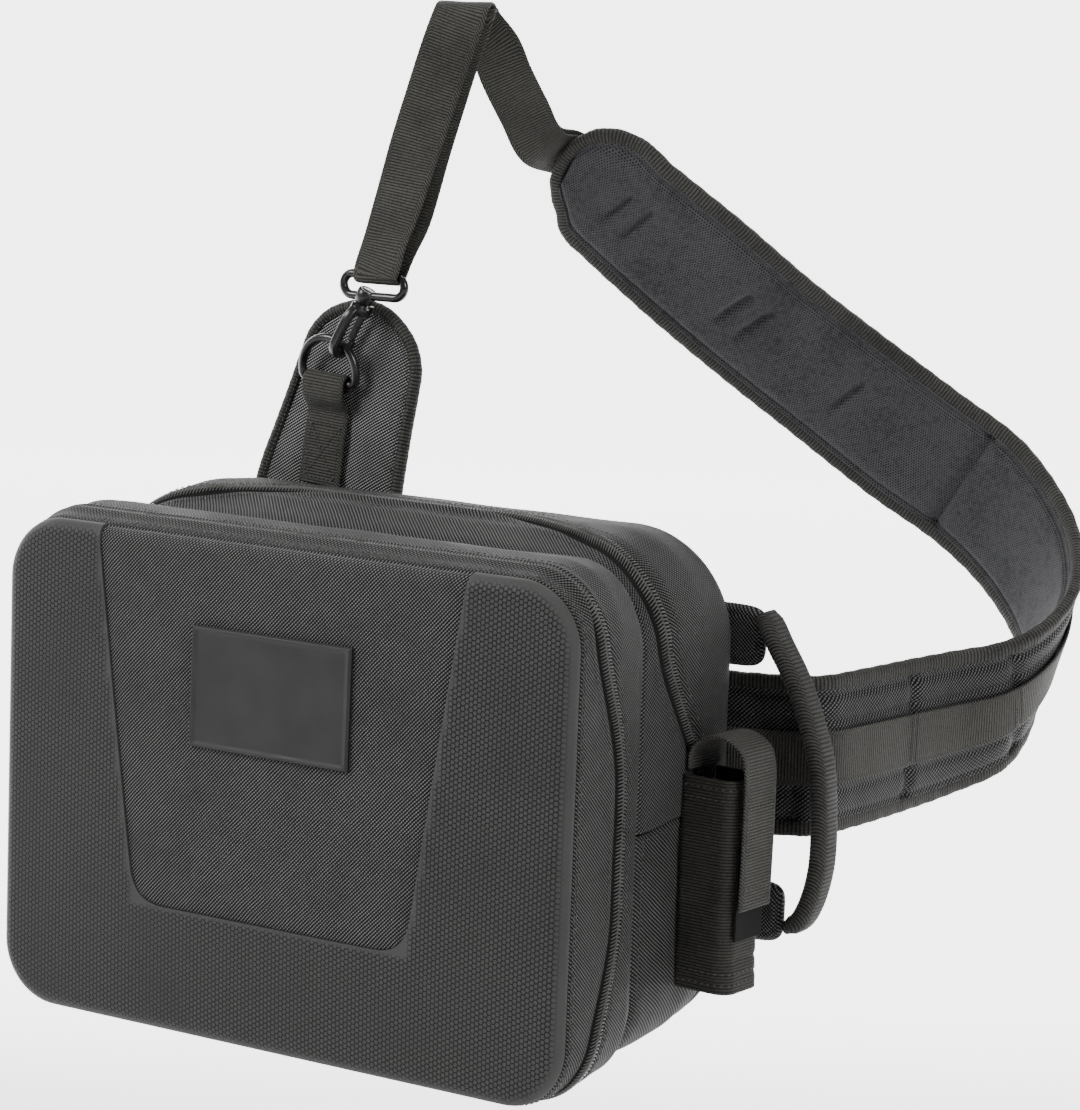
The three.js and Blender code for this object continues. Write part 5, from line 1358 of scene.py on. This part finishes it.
# two layers apart from the route by a distance that eases, joined round the ring
def slingWebbing():
    far, end = webLine["far"], webLine["far"][-1]
    turnRadius = hook["wire"] / 2 + 0.6 + sling["web"] / 2
    apart = turnRadius + (layerApart - turnRadius) * easedStep(far, 0, end / 3)
    shift = sling["layerShift"] * easedStep(far, 0, end / 8) * (1 - easedStep(far, end * 0.45, end * 0.6))
    inner = webLine["at"] - webLine["out"] * apart[:, None] + webLine["wide"] * shift[:, None]
    outer = webLine["at"] + webLine["out"] * apart[:, None]
    a = np.linspace(0, np.pi, 14)[1:-1]
    turn = strapStart + np.stack([0 * a, turnRadius * np.cos(a), -turnRadius * np.sin(a)], 1)
    at = np.concatenate([inner[::-1], turn, outer])
    wide = np.concatenate([webLine["wide"][::-1], np.repeat([[1.0, 0, 0]], len(a), 0), webLine["wide"]])
    scallop = 1 + 0.004 * np.sin(np.arange(len(at)) * 2.4)[:, None, None] * np.array([1, 0])
    carriedBody("slingWebbing", at, wide, stripProfile(24.6, 1.7)[None] * scallop, [finishes["webbing"]],
        "webbing", replaces=["sling_webbing"])


# three bars across the webbing and two at its sides
def keeperPiece():
    k = int(np.argmin(np.abs(webLine["far"] - (webLine["far"][-1] - 5.5))))
    at, wide, out, along = (webLine[key][k] for key in ("at", "wide", "out", "along"))
    half, tall = 12.5 + 1.5 + 2, keeperHalf
    for name, centre, size in (("keeperTop", tall - 1, (half, 1.0)),
            ("keeperBar", 0, (half, keeperBar / 2)), ("keeperLow", -tall + 1, (half, 1.0))):
        route = at + out * centre + along * np.linspace(-4.5, 4.5, 12)[:, None]
        profile = stripProfile(size[0] * 2, size[1] * 2, 28, 0.2, 0.5)
        carriedBody(name, route, np.repeat([wide], 12, 0), profile, [finishes["plastic"]],
            "hardware_plastic", replaces=["web_keeper"] if name == "keeperTop" else ())
    for name, sign in (("keeperLeft", -1), ("keeperRight", 1)):
        route = at + wide * sign * (half - 1) + along * np.linspace(-4.5, 4.5, 12)[:, None]
        carriedBody(name, route, np.repeat([wide], 12, 0), stripProfile(2, tall * 2, 28, 0.4, 0.2),
            [finishes["plastic"]], "hardware_plastic")


# half width of the pad: part of an ellipse at the tip, then even
def padHalf(far):
    fromTip = np.clip(far / sling["tip"], 0, 1)
    return sling["padWidth"] / 2 * np.sqrt(1 - (1 - fromTip) ** 2 * 0.86)


tacks = {
    "short": [33, 45, 107, 121, 181], "full": [253, 402, 468, 540, 600],
    "across": 12.0, "deep": 3.6, "wide": 2.2, "fullAcross": 27.0, "fullDeep": 2.9, "fullWide": 3.2,
}


# place and directions on the pad's middle line, at distances along it
def padAt(far):
    pick = lambda key: np.stack([np.interp(far, padLine["far"], padLine[key][:, k]) for k in range(3)], -1)
    return pick("at"), unit(pick("wide")), unit(pick("along")), unit(pick("out"))


# the pad: a crowned body, woven outside and mesh inside. Height of a face =
# half thickness + waves - tack dents (Gaussian along, flat-topped across) - seam dip beside the binding
def padPiece():
    far = np.concatenate([np.linspace(2, 28, 27), np.arange(29.5, padLine["far"][-1], 1.5)])
    at, wide, along, out = padAt(far)
    count = 41
    w = np.cos(np.linspace(0, np.pi, count))
    top = np.stack([w, 1 - 0.5 * np.abs(w) ** 8], 1)
    low = np.stack([w[::-1], -(1 - 0.5 * np.abs(w[::-1]) ** 8)], 1)[1:-1]
    base = np.concatenate([top, low])
    half = padHalf(far) - sling["bind"] + 1.5
    profile = np.repeat(base[None], len(far), 0) * np.stack([half,
            np.full(len(far), sling["padThick"] / 2 - 0.4)], 1)[:, None]
    across = np.abs(profile[..., 0])
    short = sum(np.exp(-((far[:, None] - place - 0.12 * profile[..., 0]) / tacks["wide"]) ** 2)
        for place in tacks["short"]) * np.exp(-(across / tacks["across"]) ** 6)
    full = sum(np.exp(-((far[:, None] - place) / tacks["fullWide"]) ** 2) for place in tacks["full"])
    places = at[:, None] + wide[:, None] * profile[..., :1]
    wave = 0.8 * ripple(places, 60, 51) + 0.5 * ripple(places, 24, 52)
    seamDip = 1.6 * np.exp(-((half[:, None] - across - 3.4) / 1.3) ** 2)
    inner = profile[..., 1] < 0
    depth = seamDip + tacks["fullDeep"] * full + np.where(inner, tacks["deep"] * short, 0)
    railDip = 1.3 * np.exp(-((across - 16.5) / 1.2) ** 2) * (far > 330)[:, None]
    puff = 0.5 * wave * easedStep(half[:, None] - across, 0, 9)
    profile[..., 1] += np.where(inner, depth - puff,
        -0.8 * depth + 0.5 * puff - railDip - 0.4) * easedStep(half[:, None] - across, 0, 2)
    numbers = np.where(np.arange(len(base)) < count - 1, 1, 0)
    piece = carriedBody("slingPad", at, wide, profile, [finishes["padMesh"], finishes["padWeave"]],
        "pad_mesh", numbers=numbers, replaces=["sling_pad"])
    rows = []
    shortRows = [(p, tacks["across"], (-1,)) for p in tacks["short"]]
    fullRows = [(p, tacks["fullAcross"], (-1, 1)) for p in tacks["full"]]
    for place, reach, sides in shortRows + fullRows:
        w = np.linspace(-reach, reach, 40)
        lineAt, lineWide, _, lineOut = padAt(place + 0.12 * w * (reach < 20))
        for side in sides:   # the thread lies at the bottom of the dent
            lift = sling["padThick"] / 2 - 0.4 - (tacks["deep"] if reach < 20
                else tacks["fullDeep"] * (1.0 if side < 0 else 1.2)) + 0.1
            spot = lineAt + lineWide * w[:, None]
            rows.append(stitchRow(spot, lineWide, side * lineOut, lift=lift, pitch=2.4, length=1.8,
                    thick=0.6))
    stitchPiece("padTacks", rows, finishes["darkThread"])


# a rounded strip down one edge, round the tip and back up the other, with a slight pucker
def bindingPiece():
    last = len(padLine["far"])
    picked = np.concatenate([np.arange(0, 18, 2), np.arange(18, last, 4)])
    def edge(side):
        far = padLine["far"][picked]
        half = padHalf(far) - sling["bind"] / 2
        at = padLine["at"][picked] + padLine["wide"][picked] * (side * half)[:, None]
        back = -2 * np.clip(1 - far / sling["tip"], 0, None)[:, None] * padLine["along"][picked]
        return at, back + side * padLine["wide"][picked]
    rightAt, rightWide = edge(1)
    leftAt, leftWide = edge(-1)
    tipShare = np.linspace(0, 1, 8)[1:-1, None]
    bulge = padLine["along"][0] * (np.sin(tipShare * np.pi) * 1.5)
    tipAt = rightAt[0] + (leftAt[0] - rightAt[0]) * tipShare - bulge
    tipWide = np.repeat([-padLine["along"][0]], len(tipShare), 0)
    line = smoothLine(np.concatenate([rightAt[::-1], tipAt, leftAt]),
        np.concatenate([rightWide[::-1], tipWide, leftWide]), 1.6)
    run = line["far"][:, None, None]
    pucker = 1 + 0.035 * np.sin(run * 0.55) + 0.02 * np.sin(run * 2.1)
    carriedBody("padBinding", line["at"], line["wide"],
        stripProfile(sling["bind"] + 0.6, sling["bindThick"], 24, 0.75, 0.75)[None] * pucker,
        [finishes["binding"]], "webbing", replaces=["pad_binding"])
    beyondTip = slice(15, None)
    reach = (padHalf(padLine["far"][beyondTip]) - sling["bind"] + 0.6)[:, None]
    rows = edgeStitches(padLine, beyondTip, reach, lift=2.5, pitch=3.0, length=2.2)
    stitchPiece("padStitches", rows, finishes["thread"])


# a flat strip along the pad's outer face, with two pairs of cross stitches
def loadWebbing():
    lift = sling["padThick"] / 2 + 0.6 + sling["web"] / 2 - 0.5
    keep = padLine["far"] > 48
    at = padLine["at"][keep] + padLine["out"][keep] * lift
    carriedBody("loadWebbing", at, padLine["wide"][keep], stripProfile(24.6, 1.8), [finishes["webbing"]],
        "webbing", replaces=["load_webbing"])
    rows = []
    far = padLine["far"][keep]
    for place in (402, 406, 468, 472):
        k = int(np.argmin(np.abs(far - place)))
        w = np.linspace(-10.5, 10.5, 24)[:, None]
        line = at[k] + padLine["wide"][keep][k] * w
        rows.append(stitchRow(line, np.repeat(padLine["wide"][keep][k][None], 24, 0),
                np.repeat(padLine["out"][keep][k][None], 24, 0), lift=1.0, pitch=2.0, length=1.7, thick=0.7))
    stitchPiece("loadStitches", rows, finishes["thread"])


slingWebbing()
keeperPiece()
padPiece()
bindingPiece()
loadWebbing()
print("sling made")

# CAD pieces that stay, with a finish of their own
for node, name in (("divider", "wallWeave"), ("front_slider", "plastic"), ("main_slider", "plastic"),
        ("tool_patch", "tape")):
    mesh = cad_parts[node].data
    mesh.materials.clear()
    mesh.materials.append(finishes[name])

# camera, floor and light
# a matrix from three axes and a place
def turnedTo(x, y, z, place):
    return Matrix([[x[k], y[k], z[k], place[k]] for k in range(3)] + [[0, 0, 0, 1]])


view = {"place": (877.14, -1215.60, 446.53), "lens": 113.514}
right = np.array([0.84906029, 0.52696604, 0.03746224])
up = np.array([-0.10821585, 0.10407538, 0.98866458])
back = np.array([0.51709376, -0.84348984, 0.14539235])
camera = bpy.data.objects.new("camera", bpy.data.cameras.new("camera"))
bpy.context.scene.collection.objects.link(camera)
camera.data.lens = view["lens"]
camera.data.sensor_width = 36
camera.data.sensor_fit = "AUTO"
camera.data.clip_end = 50
place = toRow(np.array(view["place"]))
camera.matrix_world = turnedTo(right, up, back, place)
bpy.context.scene.camera = camera

# a paper sweep: flat under the bag, then curving up far behind it; it glows where it lies behind the bag
stage = {"floor": -0.62, "half": 7.0, "front": -5.0, "curve": 3.2, "radius": 1.6, "top": 4.5, "glow": 3.6,
    "world": 0.2}


# a flat floor, a quarter circle and a straight rise, carried across the view
def paperSweep():
    a = np.linspace(0, np.pi / 2, 24)
    lie = np.concatenate([np.linspace(stage["front"], stage["curve"], 60),
            stage["curve"] + stage["radius"] * np.sin(a[1:]), [stage["curve"] + stage["radius"]]])
    tall = np.concatenate([np.zeros(60), stage["radius"] * (1 - np.cos(a[1:])),
            [stage["top"]]]) + stage["floor"]
    away = unit(np.array([-back[0], -back[1], 0]))
    across = np.array([away[1], -away[0], 0])
    wide = np.linspace(-stage["half"], stage["half"], 30)
    points = (lie[:, None, None] * away + wide[None, :, None] * across
        + tall[:, None, None] * np.array([0, 0, 1.0]))
    quads, uvQuads = gridFaces(len(lie), len(wide))
    if np.cross(across, away)[2] < 0:
        quads = quads[:, ::-1]
    mesh = bpy.data.meshes.new("paper")
    mesh.from_pydata(points.reshape(-1, 3).tolist(), [], quads.tolist())
    glow = np.repeat(easedStep(lie, -0.15, 0.6)[:, None], len(wide), 1).ravel()
    mesh.attributes.new("glow", "FLOAT", "POINT").data.foreach_set("value", glow.astype(np.float32))
    mesh.polygons.foreach_set("use_smooth", np.ones(len(mesh.polygons), bool))
    t = Tree("paper", (0.85, 0.85, 0.85), 0.9)
    fade = t.tree.nodes.new("ShaderNodeAttribute")
    fade.attribute_name = "glow"
    t.tree.links.new(t.math("MULTIPLY", fade.outputs["Fac"], stage["glow"]),
        t.shader.inputs["Emission Strength"])
    t.shader.inputs["Emission Color"].default_value = (1, 1, 1, 1)
    mesh.materials.append(t.material)
    sweep = bpy.data.objects.new("paper", mesh)
    bpy.context.scene.collection.objects.link(sweep)


paperSweep()

world = bpy.context.scene.world or bpy.data.worlds.new("world")
bpy.context.scene.world = world
world.use_nodes = True
background = world.node_tree.nodes["Background"]
background.inputs["Color"].default_value = (1, 1, 1, 1)
background.inputs["Strength"].default_value = stage["world"]


# a round lamp at a place, turned towards an aim
def softLight(name, place, aim, size, power):
    lamp = bpy.data.lights.new(name, "AREA")
    lamp.shape, lamp.size, lamp.energy = "DISK", size, power
    light = bpy.data.objects.new(name, lamp)
    bpy.context.scene.collection.objects.link(light)
    z = unit(np.array(place, float) - np.array(aim, float))
    x = unit(np.cross([0, 0, 1.0], z))
    y = np.cross(z, x)
    light.matrix_world = turnedTo(x, y, z, place)


# each light's place, size and power
lights = {
    "keyLight": ((-1.1, -1.5, 1.0), 0.9, 39), "sideLight": ((1.9, -0.6, 0.5), 0.8, 20),
    "topLight": ((0.2, 0.3, 1.6), 1.2, 13),
}
for name, (place, size, power) in lights.items():
    softLight(name, place, (0.05, 0, -0.25), size, power)
print("stage made")
